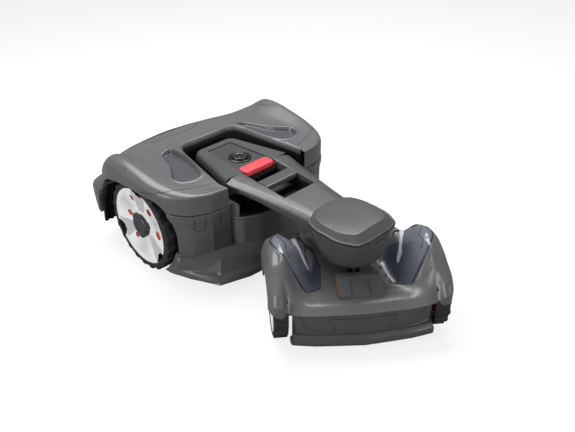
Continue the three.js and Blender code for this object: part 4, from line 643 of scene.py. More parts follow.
def whole_rows(grid):
    """Each row of half a wall, drawn to the middle, goes on with its mirror image."""
    return np.moveaxis(whole(np.moveaxis(grid, 1, 0)), 0, 1)


front_wall = wall_grid(from_front, arch_front, 90)
front_wall = np.concatenate([front_wall, front_wall[:, -1:] - (ARCH_RETURN, 0, 0)], 1)
rear_wall = wall_grid(arch_rear, to_middle, 120)
rear_wall = whole_rows(np.concatenate([rear_wall[:, :1] - (ARCH_RETURN, 0, 0), rear_wall], 1))
for side, name in SIDES:
    skin(f"side_wall_{name}", front_wall * (side, 1, 1), "rear_unit", "body", [side * 150, -60, 140])
skin("rear_wall", rear_wall, "rear_unit", "body", [0, 60, 140])
print("walls:", front_wall.shape, rear_wall.shape)

# %% [markdown]
# A black gasket fills the groove between cover and body. On each front corner a small hatch is cut
# into the wall, and beside it stands a short upright groove.

# %% Gasket, hatch and groove
GASKET_ROWS = np.array([[198.5, 0, -3.4], [205, 0, -3.4]])
HATCH = np.array([(211.7, -164.8, 193), (214.7, -163.0, 166), (211.5, -164.8, 161), (195, -173, 155),
                  (191, -175, 160), (189.5, -175.8, 193)])
GROOVE_LINE = np.array([(151.9, -185.5, 192), (153, -185.4, 175), (155.4, -185.3, 157)])
gasket_front = wall_grid(from_front, arch_front, 60, GASKET_ROWS, 2)
gasket_rear = whole_rows(wall_grid(arch_rear, to_middle, 90, GASKET_ROWS, 2))
skin("belt_gasket_rear", gasket_rear, "rear_unit", "black", [0, 60, 200])
for side, name in SIDES:
    flip = np.array([side, 1, 1])
    skin(f"belt_gasket_{name}", gasket_front * flip, "rear_unit", "black", [side * 150, -60, 200])
    for key, line, width in (("hatch", even(HATCH, 60), 1.6), ("groove", even(GROOVE_LINE, 30), 2.2)):
        laid = settle(line, front_wall[:, 5:]) * flip
        seam(f"{key}_{name}", laid, laid * (1, 1, 0), width, 0.4, "rear_unit")
print("gaskets:", gasket_front.shape, gasket_rear.shape)

# %% [markdown]
# Under the arm's root the body has an open box. Its front wall has rounded upright corners and a
# rolled rim that catches the light; the floor and the lining behind it are black.

# %% Box under the arm
FRONT_LINE = np.array([(119.6, -181.5), (112.6, -192), (104, -208), (61, -227.2), (0, -234.9)])
LINING_LINE = np.array([(106.3, -198.0), (106.3, -150.7), (-106.3, -150.7), (-106.3, -198.0)])
BOX_ROWS = [(91, 0.4), (150, 0.6), (160, 0.9), (163, 2.2), (166.2, 2.4), (168, 1.2), (168.2, -1.2),
            (167, -3.4), (163, -3.8)]
BOX_MIDDLE, BOX_FLOOR, BOX_BACK, BOX_HALF = (0, -120), 166.5, -150.8, 105
front_corners = np.concatenate([FRONT_LINE, FRONT_LINE[:-1][::-1] * (-1, 1)])
front_plan = even(soften(front_corners, 7, 7, closed=False), 200)
outwards = front_plan - BOX_MIDDLE
outwards /= np.linalg.norm(outwards, axis=1, keepdims=True)
box_wall = np.stack([at_height(front_plan + outwards * push, height) for height, push in BOX_ROWS])
skin("box_wall", through(box_wall, 40, 0.5), "rear_unit", "body", [0, -120, 130])
lining = np.stack([at_height(even(LINING_LINE, 120), height) for height in (166.4, 198)])
skin("box_lining", lining, "rear_unit", "black", [0, -140, 240])
floor_x = np.linspace(-BOX_HALF, BOX_HALF, 60)
floor_front = np.interp(np.abs(floor_x), FRONT_LINE[::-1, 0], FRONT_LINE[::-1, 1]) + 4
box_floor = np.stack([at_height(np.stack([floor_x, y], -1), BOX_FLOOR)
                      for y in (floor_front, np.full(60, BOX_BACK))])
skin("box_floor", box_floor, "rear_unit", "black", [0, -180, 100])
print("box under the arm:", box_wall.shape)

# %% [markdown]
# ## The skirt of the cutting deck
# Twelve outlines, from the hem to the ledge and up to the body, are softened in the
# plan and then joined upwards. Each ends with a return in front of the rear wheel.

# %% Skirt
HEM_SHARES = np.array([[0.00, 1.36], [0.22, 1.36], [0.45, 1.335], [0.725, 1.21], [0.85, 0.84],
                       [0.92, 0.59], [0.92, 0.50], [0.80, 0.50]])
LEDGE_SHARES = np.array([[0.00, 1.285], [0.20, 1.26], [0.36, 1.20], [0.625, 1.07], [0.81, 0.80],
                         [0.885, 0.69], [0.89, 0.62], [0.80, 0.62]])
TOP_SHARES = np.array([[0.00, 1.230], [0.22, 1.185], [0.37, 1.10], [0.55, 0.985], [0.77, 0.85],
                       [0.87, 0.72], [0.885, 0.66], [0.80, 0.66]])
SLOPE_SHARES = HEM_SHARES * 0.45 + LEDGE_SHARES * 0.55
SKIRT_ROWS = [(HEM_SHARES, 40, -4), (HEM_SHARES, 28.5, -3), (HEM_SHARES, 28.5, 0), (HEM_SHARES, 34, 0.5),
              (HEM_SHARES * 0.72 + SLOPE_SHARES * 0.28, 44, 0.5), (SLOPE_SHARES, 49, 1.0),
              (SLOPE_SHARES * 0.55 + LEDGE_SHARES * 0.45, 54, 2.5), (LEDGE_SHARES, 74, 1.0),
              (LEDGE_SHARES, 78, -2.5), (TOP_SHARES, 91, 1.5), (TOP_SHARES, 92.4, 0.5),
              (TOP_SHARES, 92.0, -26.0)]


def skirt_ring(shares, height, push):
    """The outline at one height: shares of half width and front reach, pushed out and mirrored."""
    half = np.stack([shares[:, 0] * HALF_WIDTH + push, -shares[:, 1] * FRONT_LEAD - push], -1)
    return at_height(soften(whole(half[::-1]), 26, 6, closed=False), height)


skirt_rows = np.stack([skirt_ring(*row) for row in SKIRT_ROWS])
skirt = np.moveaxis(soften(np.moveaxis(skirt_rows, 0, 1), 3, 4, closed=False), 1, 0)
skin("skirt_shell", skirt, "rear_unit", "body", [0, -80, 60])
print("skirt:", skirt.shape)

# %% [markdown]
# ## The console
# The console's skin is a U-shaped band between two paired lines: its outside, and the edge of the
# sunk panel and the stop button's seat. Its section rises steeply, rolls over and runs level.

# %% Console
CONSOLE_INNER = np.array([[50.8, -152], [50.8, -127.0], [38.8, -1.8], [-38.8, -1.8], [-50.8, -127.0],
                          [-50.8, -152]])
PAIRED_OUTER = np.array([[107, -152], [101.1, -127], [63.7, 27], [-63.7, 27], [-101.1, -127],
                         [-107, -152]])
OUTER_BENDS = np.array([0, 2, 26, 26, 2, 0])[:, None]
INNER_BENDS = np.array([0, 2, 6, 6, 2, 0])[:, None]
CROWN_ROWS = [(-0.5, 204), (-0.5, 227), (0.6, 233.5), (3.0, 240.2), (6.5, 244.4), (11.0, 246.9),
              (17.0, 247.6)]
EDGE_ROWS = [(-1.4, 247.0), (0, 246.2), (0, 241.3)]
outer_path = spread(soften(PAIRED_OUTER, OUTER_BENDS, 9, closed=False), 220)
inner_path = spread(soften(CONSOLE_INNER, INNER_BENDS, 9, closed=False), 220)
inward = inner_path - outer_path
inward /= np.linalg.norm(inward, axis=1, keepdims=True)
console = [at_height(outer_path + inward * inset, height) for inset, height in CROWN_ROWS]
console += [at_height(inner_path + inward * inset, height) for inset, height in EDGE_ROWS]
skin("console_shell", through(console, 60, 0.42), "rear_unit", "arm", [0, -60, 180])
print("console rows:", len(console))

# %% [markdown]
# ## The arm
# The arm's section is a low dome with a shoulder and sloping sides. Beside the hand openings it is
# two rails, and in front of them one full beam that runs into the bowl.

# %% Rails and beam
ARM_SHARES = np.array([[0.000, 1.000, 0.00, 0.34], [0.085, 0.975, 0.10, 0.31], [0.200, 0.905, 0.20, 0.26],
                       [0.380, 0.820, 0.36, 0.29], [0.600, 0.735, 0.56, 0.36], [0.800, 0.665, 0.78, 0.43],
                       [1.000, 0.613, 1.00, 0.50]])
ARM_START, ARM_SPLIT, ARM_END = 152.4, 297, 392.0
OPENING, ARM_HALF, ARM_TOP, ARM_FALL, SIDE_HEIGHT = 51.0, 106, 247, 17, 48


def arm_section(lead, inner):
    """Closed section at each lead: top, shoulder, side, keel and back along x = inner."""
    share = (lead - ARM_START) / (ARM_END - ARM_START)
    u = np.interp(share, ARM_SHARES[:, 0], np.arange(len(ARM_SHARES)))
    width, top, lip = blend_at(ARM_SHARES[:, 1:], u).T
    half = ARM_HALF * width
    crown = ARM_TOP - ARM_FALL * top
    edge = crown - 9
    keel = edge - lip * SIDE_HEIGHT
    inner = np.full_like(half, inner)
    x = np.stack([inner, np.maximum(half * 0.6, inner + 2), half * 0.82, half, half * 0.985,
                  half * 0.86, inner], -1)
    z = np.stack([crown, crown, crown - 1.5, edge, keel, keel - 8, keel - 8], -1)
    y = -np.repeat(lead[:, None], x.shape[1], 1)
    return np.stack([x, y, z], -1)


rail = soften(arm_section(np.linspace(ARM_START, ARM_SPLIT, 50), OPENING), 3.5, 5)
for side, name in SIDES:
    skin(f"arm_rail_{name}", rail * (side, 1, 1), "rear_unit", "arm", [side * 66, -225, 230],
         ring=True, caps=True)
half_beam = arm_section(np.linspace(ARM_SPLIT, ARM_END, 34), 0.0)[:, 1:-1]
beam = soften(np.concatenate([half_beam, half_beam[:, ::-1] * (-1, 1, 1)], 1), 3.5, 5)
skin("arm_beam", beam, "rear_unit", "arm", [0, -340, 225], ["arm_moulding"], ring=True, caps=True)
print("arm rail:", rail.shape, "beam:", beam.shape)

# %% [markdown]
# ## Bowl and cap
# The bowl under the arm's head grows from a circle round the steering shaft into the cap's six-sided
# outline. The cap is a shallow dome with a plateau that ends well before the front edge.

# %% Head
HEAD_SHARES = np.array([[0.00, 0.88], [0.62, 0.83], [0.80, 0.76], [1.00, -0.26], [0.86, -0.80],
                        [0.55, -1.06], [0.00, -1.14]])
HEAD_REACH = 86
BOWL_ROWS = [(13, 0, 140), (40, 0, 140), (54, 0, 141), (64, 0, 146), (71, 0.1, 155), (75, 0.35, 172),
             (75, 0.7, 193), (75, 0.93, 208), (0, 1, 217), (0, 1, 221.2), (0, 1, 221.4, 0.97)]
CAP_ROWS = [(0.97, 0.97, 221.6), (0.992, 0.992, 221.6), (1.0, 1.0, 222.6), (1.0, 1.0, 224.4),
            (0.985, 0.985, 225.6), (0.955, 0.955, 225.4), (0.94, 0.94, 226.2), (0.84, 0.70, 235.6),
            (0.80, 0.655, 236.8), (0.5, 0.42, 237.8), (0.02, 0.02, 238.0)]
half_head = HEAD_SHARES * (HEAD_REACH, -HEAD_REACH)
head_line = soften(np.concatenate([half_head, half_head[1:-1][::-1] * (-1, 1)]), 15, 8)
head_line = np.concatenate([head_line, head_line[:1]])
angle = np.unwrap(np.arctan2(head_line[:, 1], head_line[:, 0]))
order = np.argsort(angle)
turn = np.linspace(0, 2 * math.pi, 144, endpoint=False)
reach = np.interp(turn, angle[order], np.linalg.norm(head_line, axis=1)[order], period=2 * math.pi)
front_pull = np.clip(-np.sin(turn), 0, 1)**1.6


def round_head(r, height):
    """Radii round the steering axis become points: x = r cos t, y = r sin t less the axis's lead."""
    return at_height(np.stack([r * np.cos(turn), r * np.sin(turn) - STEER_LEAD], -1), height)


def head_ring(circle, share, height, scale=1.0):
    """Ring whose radius is mixed from a circle and the head's outline."""
    return round_head((circle * (1 - share) + reach * share) * scale, height)


def cap_ring(scale, front_scale, height):
    """The head's outline times one scale behind and at the sides, and another at its front."""
    return round_head(reach * (scale + (front_scale - scale) * front_pull), height)


bowl = through([head_ring(*row) for row in BOWL_ROWS], 60, 0.4)
skin("head_bowl", bowl, "rear_unit", "arm", [0, -458, 190], ring=True, sharp=60)
cap = through([cap_ring(*row) for row in CAP_ROWS], 60, 0.3)
skin("cap_shell", cap, "rear_unit", "arm", [0, -458, 225], ["head_cap"], ring=True, caps=True, sharp=60)
print("bowl:", bowl.shape, "cap:", cap.shape)

# %% [markdown]
# Between cap and bowl lies a black joint, and the bowl's front has a short slot under the cap's tip.

# %% Joint and slot of the head
JOINT_ROWS = [(0, 1, 219.6, 1.003), (0, 1, 220.0, 1.007), (0, 1, 221.8, 1.007), (0, 1, 222.2, 1.003)]
joint = np.stack([head_ring(*row) for row in JOINT_ROWS])
skin("head_joint", joint, "rear_unit", "black", [0, -458, 221], ring=True)
tip = np.abs(turn - 1.5 * math.pi) < math.radians(13)
slot_line = head_ring(75, 0.96, 210.5)[tip]
seam("head_slot", slot_line, (slot_line + (0, STEER_LEAD, 0)) * (1, 1, 0), 5.0, 0.5, "rear_unit")
print("joint:", joint.shape, "slot:", slot_line.shape)

# %% [markdown]
# ## The front body
# The shell is drawn by sections from side to side, each a line of heights from its rear end to its
# front end. Two fenders stand over the wheels, so the heights rise there and dip in the middle.

# %% Sections of the front shell
SHELL_WAYS = np.array([0, 0.05, 0.16, 0.38, 0.62, 0.78, 0.90, 1.00])
SHELL_SHARES = np.array([
    [0.000, -0.42, 0.885, 0.510, 0.518, 0.520, 0.524, 0.538, 0.555, 0.560, 0.508],
    [0.410, -0.42, 0.865, 0.700, 0.680, 0.625, 0.570, 0.546, 0.553, 0.558, 0.508],
    [0.555, -0.41, 0.855, 0.800, 0.830, 0.810, 0.745, 0.625, 0.565, 0.558, 0.510],
    [0.670, -0.38, 0.835, 0.680, 0.780, 0.850, 0.880, 0.780, 0.650, 0.580, 0.512],
    [0.790, -0.34, 0.800, 0.780, 0.880, 0.960, 1.000, 0.960, 0.820, 0.680, 0.530],
    [0.870, -0.32, 0.845, 0.770, 0.870, 0.950, 0.990, 0.930, 0.825, 0.740, 0.620],
    [0.950, -0.30, 0.800, 0.750, 0.825, 0.890, 0.935, 0.890, 0.800, 0.735, 0.640],
    [1.000, -0.22, 0.660, 0.670, 0.720, 0.760, 0.790, 0.775, 0.745, 0.705, 0.630]])
SHELL_HALF, SHELL_HIGH, BUMPER_LEAD, SHELL_LOW = 201.0, 192.0, 180.0, 96.0
TENSION = 0.45
mirrored_rows = SHELL_SHARES[1:][::-1] * np.array([-1] + [1] * 10)
shell_rows = np.concatenate([mirrored_rows, SHELL_SHARES])


def shell_points(u, v):
    """Points of the shell: u runs over the sections, v over the eight heights."""
    row = blend_at(shell_rows, u, TENSION)
    line = np.moveaxis(row[..., 3:], -1, 0)
    flat_v = np.clip(v, 0, 7)
    i = np.minimum(flat_v.astype(int), 6)
    longer = lengthened(line)
    before, a, b, after = (np.take_along_axis(longer, (i + k)[None], 0)[0] for k in range(4))
    height = cubic(flat_v - i, a, b, (b - before) * TENSION, (after - a) * TENSION)
    way = np.interp(flat_v, np.arange(8), SHELL_WAYS)
    lead = (row[..., 1] * (1 - way) + row[..., 2] * way) * BUMPER_LEAD
    return np.stack([row[..., 0] * SHELL_HALF, lead, height * SHELL_HIGH], -1)


print("sections of the front shell:", len(shell_rows))

# %% [markdown]
# Smoked lamp covers are let into the fenders' inner slopes. Their seat is pressed into the shell as
# the pockets were, with a low ridge round it, and then the shell gets its upright sides and hem.

# %% Front shell
FRONT_AXLE, FRONT_RADIUS, ARCH_TRIM, TURN_IN = 75.6, 75.0, 10, 3
SEAT_DEPTH, RIDGE_HEIGHT, RIDGE_OUT, RIDGE_WIDTH = 2.4, 1.0, 3.6, 2.2
LENS_SHARES = np.array([[-0.34, -0.02], [-0.40, 0.42], [-0.58, 0.53], [-0.81, 0.31], [-0.90, 0.10],
                        [-0.92, -0.06], [-0.86, -0.20], [-0.72, -0.26], [-0.40, -0.26]])
SHELL_SIZE = np.array([SHELL_HALF, BUMPER_LEAD])
lens_line = soften(LENS_SHARES * SHELL_SIZE, 5, 4)
u, v = np.meshgrid(np.linspace(0, len(shell_rows) - 1, 260), np.linspace(0, 7, 150), indexing="ij")
shell = shell_points(u, v)
folded = np.stack([-np.abs(shell[..., 0]), shell[..., 1]], -1)
lens_depth = inside_distance(folded, lens_line)
shell[..., 2] -= SEAT_DEPTH * smooth_step(-0.6, 0.6, lens_depth)
shell[..., 2] += RIDGE_HEIGHT * np.exp(-((lens_depth + RIDGE_OUT) / RIDGE_WIDTH)**2)
down_front = shell[:, -1:] * (1, 1, 0) + (0, 0, SHELL_LOW)
down_rear = shell[:, :1] * (1, 1, 0) + (0, 0, SHELL_LOW)
turn_in = (0, TURN_IN, 0)
shell = np.concatenate([down_rear + turn_in, down_rear, shell, down_front, down_front - turn_in], 1)
arch_radius = FRONT_RADIUS - ARCH_TRIM
from_axle = np.clip(shell[-1:, :, 1] - FRONT_AXLE + ARCH_TRIM, -arch_radius, arch_radius)
hem_line = np.maximum(SHELL_LOW, FRONT_RADIUS + np.sqrt(arch_radius**2 - from_axle**2))
down_side = shell[-1:] * (1, 1, 0) + hem_line[..., None] * (0, 0, 1)
down_other = shell[:1] * (1, 1, 0) + hem_line[..., None] * (0, 0, 1)
turn_in = (TURN_IN, 0, 0)
shell = np.concatenate([down_other + turn_in, down_other, shell, down_side, down_side - turn_in])
skin("fender_shell", shell, "front_unit", "cover", [0, 40, 60], ["front_shell"], front_in_frame)
print("front shell:", shell.shape)

# %% [markdown]
# The smoked lamp covers lie in their seat with a dark joint round them. On each stands a frosted
# light guide. All of them are laid on the shell's own height, so they follow its curves.

# %% Laying a piece on the shell
def shell_height(points):
    """Height of the shell over plan points: the section is found from x, the place on it from
    the lead, and the height from both cubics."""
    x = points[..., 0] / SHELL_HALF
    fine_u = np.linspace(0, len(shell_rows) - 1, 600)
    u_here = np.interp(x, blend_at(shell_rows, fine_u, TENSION)[:, 0], fine_u)
    row = blend_at(shell_rows, u_here, TENSION)
    way = (points[..., 1] / BUMPER_LEAD - row[..., 1]) / (row[..., 2] - row[..., 1])
    return shell_points(u_here, np.interp(way, SHELL_WAYS, np.arange(8)))[..., 2]


def draped(outline, lift, rings=26, thickness=1.6, bulge=0.0):
    """Rings from the middle of an outline to its edge, laid on the shell at a lift, with an edge
    that goes down by the thickness."""
    t = np.linspace(0.02, 1, rings)[:, None, None]
    centre = outline.mean(0)
    flat = centre + (outline - centre) * t
    top = at_height(flat, shell_height(flat) + lift + bulge * (1 - t[..., 0]**2))
    return np.concatenate([top, top[-1:] - (0, 0, thickness)])


def shell_normal(points):
    """Upward normal of the shell: (-dz/dx, -dz/dlead, 1) from heights one millimetre apart."""
    slope_x = shell_height(points[:, :2] + (1, 0)) - shell_height(points[:, :2] - (1, 0))
    slope_l = shell_height(points[:, :2] + (0, 1)) - shell_height(points[:, :2] - (0, 1))
    return np.stack([-slope_x / 2, -slope_l / 2, np.ones(len(points))], -1)


over_axle = shell_height(np.array([[150.0, FRONT_AXLE]]))[0]
print("fender over its wheel:", round(float(over_axle), 1), "mm")

# %% [markdown]
# The outlines are drawn once, on the side of negative x, and turned over for the other lamp. A tint
# makes the lens paler towards its outer end: a painted sheen on the smoked cover.

# %% Lamp covers and light guides
GUIDE_SHARES = np.array([[-0.665, -0.22], [-0.610, -0.24], [-0.500, 0.14], [-0.515, 0.17], [-0.555, 0.12]])
FACET_SHARES = np.array([(-0.86, -0.20), (-0.80, -0.03), (-0.74, 0.05), (-0.76, 0.18), (-0.72, 0.26)])
LENS_SHRINK, PAINTED_SHEEN_SHARE = (0.993, 0.985), 0.75
inner_lens = soften(LENS_SHARES * SHELL_SIZE * LENS_SHRINK, 5, 6)
guide_line = soften(GUIDE_SHARES * SHELL_SIZE, 4, 6)
lens = draped(inner_lens, -0.5)
from_edge = inside_distance(lens[..., :2], inner_lens)
# painted sheen: the lens turns paler towards its outer end, away from its edge
painted_sheen = PAINTED_SHEEN_SHARE * (1 - smooth_step(-175, -90, lens[..., 0])) * smooth_step(0, 6, from_edge)
guide = draped(guide_line, 1.6, thickness=4.0, bulge=1.5)
outline = even(np.concatenate([lens_line, lens_line[:1]]), 160)[:-1]
rise = at_height(outline, shell_height(outline) - 0.4)
facet = even(FACET_SHARES * SHELL_SIZE, 50)
facet = at_height(facet, shell_height(facet))
for side, name in SIDES:
    flip = np.array([-side, 1, 1])
    skin(f"lamp_cover_{name}", lens * flip, "front_unit", "smoke", [side * 100, 20, 60],
         [f"lens_{name}"], front_in_frame, ring=True, tint=painted_sheen)
    skin(f"guide_{name}", guide * flip, "front_unit", "guide", [side * 100, 0, 60],
         [f"light_guide_{name}"], front_in_frame, ring=True)
    seam(f"lamp_joint_{name}", rise * flip, shell_normal(rise) * flip, 1.8, 0.35, "front_unit",
         place=front_in_frame, closed=True)
    seam(f"lamp_facet_{name}", facet * flip, shell_normal(facet) * flip, 1.3, 0.3, "front_unit",
         place=front_in_frame)
print("lamp cover:", lens.shape, "light guide:", guide.shape)

# %% [markdown]
# ## The bumper
# One closed section, with a lip, a shelf and an upright wall, is carried along the bumper's plan. A
# raised line frames the plate on its front.

# %% Bumper
BUMPER_PLAN = np.array([[-1, 0.90, 0.770], [-0.70, 0.95, 0.845], [-0.37, 0.975, 0.864], [0, 1, 0.88],
                        [0.37, 0.975, 0.864], [0.70, 0.95, 0.845], [1, 0.90, 0.770]])
FRAME_SHARES = np.array([(-0.90, 0.90), (-0.80, 0.16), (-0.76, 0.10), (0.76, 0.10), (0.80, 0.16),
                         (0.90, 0.90)])
BUMPER_HALF, WALL_LOW, WALL_HIGH, PLATE_HEIGHT, PLATE_LEAN = 151, 51, 94, 43, 3 / 44
bar_share, lip_share, wall_share = through(BUMPER_PLAN, 90).T
bar_x, lip, wall = bar_share * BUMPER_HALF, lip_share * BUMPER_LEAD, wall_share * BUMPER_LEAD
section = [(wall - 7, 28), (lip - 4, 25.2), (lip, 31), (lip - 2, 42), (lip - 9, 50), (wall + 3, WALL_LOW),
           (wall, WALL_HIGH), (wall - 7, WALL_HIGH)]
bumper = np.stack([at_height(np.stack([bar_x, lead], -1), height) for lead, height in section], 1)
skin("bumper_bar", soften(bumper, 3, 5), "front_bumper", "bumper", [0, 160, 45], (), front_in_frame,
     ring=True, caps=True)
frame_corners = FRAME_SHARES * (BUMPER_HALF, PLATE_HEIGHT) + (0, WALL_LOW)
frame_x, frame_z = even(soften(frame_corners, 4, 5, closed=False), 140).T
frame_lead = np.interp(frame_x, bar_x, wall) + PLATE_LEAN * (WALL_HIGH - frame_z)
frame_line = np.stack([frame_x, frame_lead, frame_z], -1)
forward = np.array([0, 1.0, 0]) + 0 * frame_line
seam("bumper_frame", frame_line, forward, 3.6, 1.6, "front_bumper", "bumper", front_in_frame)
print("bumper:", bumper.shape)

# %% [markdown]
# ## Wheels
# A wheel is worked out round its axle: w runs from its inner to its outer side, r is the radius and
# the angle starts straight ahead. The tread is a ring of bars in a shallow V on a rounded carcass.

# %% Wheel sizes and tyres
WHEELS = [
    dict(end="rear", radius=WHEEL, width=46.0, outer=263.5, lead=0.0, lugs=22),
    dict(end="front", radius=FRONT_RADIUS, width=34.0, outer=192.5, lead=FRONT_AXLE, lugs=16),
]
TYRE_SHARE, LUG_HEIGHT, LUG_SLANT = 0.152, 5, 0.16


def on_wheel(wheel, side, w, r, angle):
    """Wheel coordinates to the frame: ahead is r cos(angle), up is r sin(angle)."""
    x = side * (wheel["outer"] - wheel["width"] + w)
    ahead = r * np.cos(angle)
    up = wheel["radius"] + r * np.sin(angle)
    x, ahead, up = np.broadcast_arrays(x, ahead, up)
    if wheel["end"] == "rear":
        return in_frame(np.stack([x, -ahead, up], -1))
    return front_in_frame(np.stack([x, wheel["lead"] + ahead, up], -1))


def wheel_skin(wheel, side, name, w_r_angle, slot, w_inside, stands_for, **options):
    """A skin that rides on a wheel; its faces look away from the place w_inside on the axle."""
    body = f"{wheel['end']}_{'left' if side > 0 else 'right'}_wheel"
    inside = on_wheel(wheel, side, w_inside, 0, 0.0)
    skin(name, on_wheel(wheel, side, *w_r_angle), body, slot, inside, [stands_for], np.asarray,
         ring=True, **options)


def tyre_grid(wheel):
    """Radius over the tread: carcass plus bar height where the angle, sheared into a V by the
    distance from the middle, is inside a bar."""
    radius, width, lugs = wheel["radius"], wheel["width"], wheel["lugs"]
    bead = radius * (1 - TYRE_SHARE) - 0.2
    root = radius - LUG_HEIGHT
    angle = np.linspace(0, 2 * math.pi, lugs * 22, endpoint=False)[:, None]
    profile = np.array([[bead, 1.0], [bead + 4, 0.6], [root - 5, 0.5], [root - 1.5, 1.6], [root, 3.5]])
    tread_w = np.linspace(4, width - 4, 25)
    w = np.concatenate([profile[:, 1], tread_w, width - profile[::-1, 1]])
    base = np.concatenate([profile[:, 0], np.full(len(tread_w), root), profile[::-1, 0]])
    off_centre = np.abs(w - width / 2) / (width / 2)
    pitch = 2 * math.pi / lugs
    phase = (angle + math.pi / 2 + LUG_SLANT * pitch * off_centre) / pitch
    from_bar = np.abs(phase - np.round(phase)) * pitch * radius
    bar = (1 - smooth_step(5.0, 6.8, from_bar)) * (1 - smooth_step(0.90, 1.0, off_centre))
    return w + 0 * angle, base + np.where(base > root - 2, LUG_HEIGHT * bar, 0), angle


for wheel in WHEELS:
    for side, name in SIDES:
        tag = f"{wheel['end']}_{name}"
        wheel_skin(wheel, side, f"tyre_{tag}_tread", tyre_grid(wheel), "tyre", wheel["width"] / 2,
                   f"tyre_{tag}", loop=True, sharp=34)
print("bars on the tyres:", [wheel["lugs"] for wheel in WHEELS])

# %% [markdown]
# The disc is dished and painted silver. Three notches let the tyre's black flange show at the rim,
# three corridors sink towards them, and each petal between them is folded along its middle. Corridors
# and folds take a darker tint, partly a darker paint and partly painted shade. Small windows, placed
# where the photograph shows them, let the orange ring behind come through.

# %% Wheel discs
NOTCHES = np.radians([86.0, 206.0, 322.0])
WINDOWS = np.array([[108, 0.74, 5.0, 0.09], [51, 0.74, 8.0, 0.13], [4, 0.74, 8.5, 0.14],
                    [163, 0.49, 9.0, 0.12], [236, 0.48, 9.0, 0.11]])
TURN = math.radians
DISC_INSET, DISH_DEPTH, NOTCH_FROM, CORRIDOR_DEPTH, FOLD_DEPTH = 2.2, 9, 0.84, 2.4, 3.2


def near_angle(angle, centres):
    """Smallest distance of each angle to any of the centres."""
    gap = (angle[..., None] - centres + math.pi) % (2 * math.pi) - math.pi
    return np.abs(gap).min(-1)


def rim_radius(wheel):
    """Radius of the disc: it ends a little inside the tyre's bead."""
    return wheel["radius"] * (1 - TYRE_SHARE) - 0.4


def dish(share):
    """Deepest at the hub, rising smoothly to nothing at the rim."""
    return -DISH_DEPTH * (1 - smooth_step(0.34, 1.02, share))


def disc_face(share, notch, petal):
    """Height and darker tint of the disc: the dish, less the corridor near a notch, less the petal's fold.
    The tint is partly a darker paint and partly painted shade in those recesses. notch and petal are
    the distances, as angles, to the nearest notch and middle of a petal."""
    spread_out = TURN(13) + TURN(5) * share
    corridor = 1 - smooth_step(spread_out, spread_out + TURN(1.5), notch + 0 * share)
    corridor = corridor * smooth_step(0.34, 0.4, share)
    fold = np.clip(1 - petal / TURN(30), 0, 1) * smooth_step(0.30, 0.6, share)
    fold = fold * (1 - smooth_step(0.8, 1.0, share))
    level = 1 - smooth_step(0.90, 0.97, share)
    height = dish(share) - DISC_INSET - CORRIDOR_DEPTH * corridor * level - FOLD_DEPTH * fold
    # the darker tint of corridor and fold is partly paint, partly painted shade
    return height, np.clip(corridor * 0.62 + fold * 0.45, 0, 1) * level


def disc_holes(angle, share, notch):
    """True at the points that lie in a notch or in a window, an ellipse in angle and share."""
    gone = (notch < TURN(6.5) + TURN(7) * smooth_step(NOTCH_FROM, 0.97, share)) & (share > NOTCH_FROM)
    for centre, middle, half_turn, half_share in WINDOWS:
        across = near_angle(angle, np.radians([centre])) / TURN(half_turn)
        gone = gone | (across**2 + ((share - middle) / half_share)**2 < 1)
    return gone


def disc_grid(wheel):
    """The disc from hub to rim with two more rows for its edge, their tint of darker paint and painted
    shade, and the quads that are left out: those that have all four corners in a hole."""
    angle = np.linspace(0, 2 * math.pi, 360, endpoint=False)[None]
    share = np.linspace(0.12, 1, 70)[:, None]
    notch = near_angle(angle, NOTCHES)
    height, grey_paint_and_shade = disc_face(share, notch, near_angle(angle, NOTCHES + TURN(60)))
    holes = disc_holes(angle, share, notch)
    r = rim_radius(wheel) * share
    r = np.concatenate([r, r[-1:], r[-1:] - 3])
    w = wheel["width"] + np.concatenate([height, height[-1:] - 0.6, height[-1:] - 14])
    tint = np.concatenate([grey_paint_and_shade, grey_paint_and_shade[-1:], grey_paint_and_shade[-1:]])
    holes = np.concatenate([holes, holes[-1:], holes[-1:]])
    pairs = holes & np.roll(holes, -1, 1)
    return (w, r + 0 * angle, angle + 0 * w), tint, pairs[:-1] & pairs[1:]


for wheel in WHEELS:
    for side, name in SIDES:
        tag = f"{wheel['end']}_{name}"
        places, tint, cells = disc_grid(wheel)
        wheel_skin(wheel, side, f"disc_{tag}_face", places, "silver", 0.0, f"disc_{tag}",
                   holes=cells, tint=tint, sharp=30)
print("quads left out of a disc:", int(cells.sum()))

# %% [markdown]
# Behind each disc lies the orange ring, and in its middle sits the dark cap, a low dome that grows
# out into three lobes. Both are profiles carried round the axle, with a wave or a lobe added.

# %% Orange rings and hub caps
LOBES = np.radians([20.0, 136.0, 270.0])
CAP_SHARE, LOBE_SHARE, CAP_SEAT = 0.28 * 0.9, 0.16, 10.65
CAP_PROFILE = np.array([[1.0, 0], [1.0, 5], [0.97, 7.5], [0.88, 9.4], [0.74, 10.6], [0.66, 10.4],
                        [0.4, 9.6], [0.02, 9.4]])
RING_PROFILE = np.array([[0.34, 7.5], [0.34, 4.6], [0.42, 4.2], [0.52, 4.2], [0.62, 4.2], [0.72, 4.2],
                         [0.83, 4.6], [0.83, 7.5]])


def cap_grid(wheel):
    """A low dome whose radius grows in three lobes."""
    share, high = CAP_PROFILE[:, :1], CAP_PROFILE[:, 1:]
    angle = np.linspace(0, 2 * math.pi, 144, endpoint=False)[None]
    lobe = 1 - smooth_step(TURN(8), TURN(20), near_angle(angle, LOBES))
    r = wheel["radius"] * CAP_SHARE * share * (1 + LOBE_SHARE * lobe * smooth_step(0.6, 0.95, share))
    return wheel["width"] - CAP_SEAT + high + 0 * angle, r, angle + 0 * r


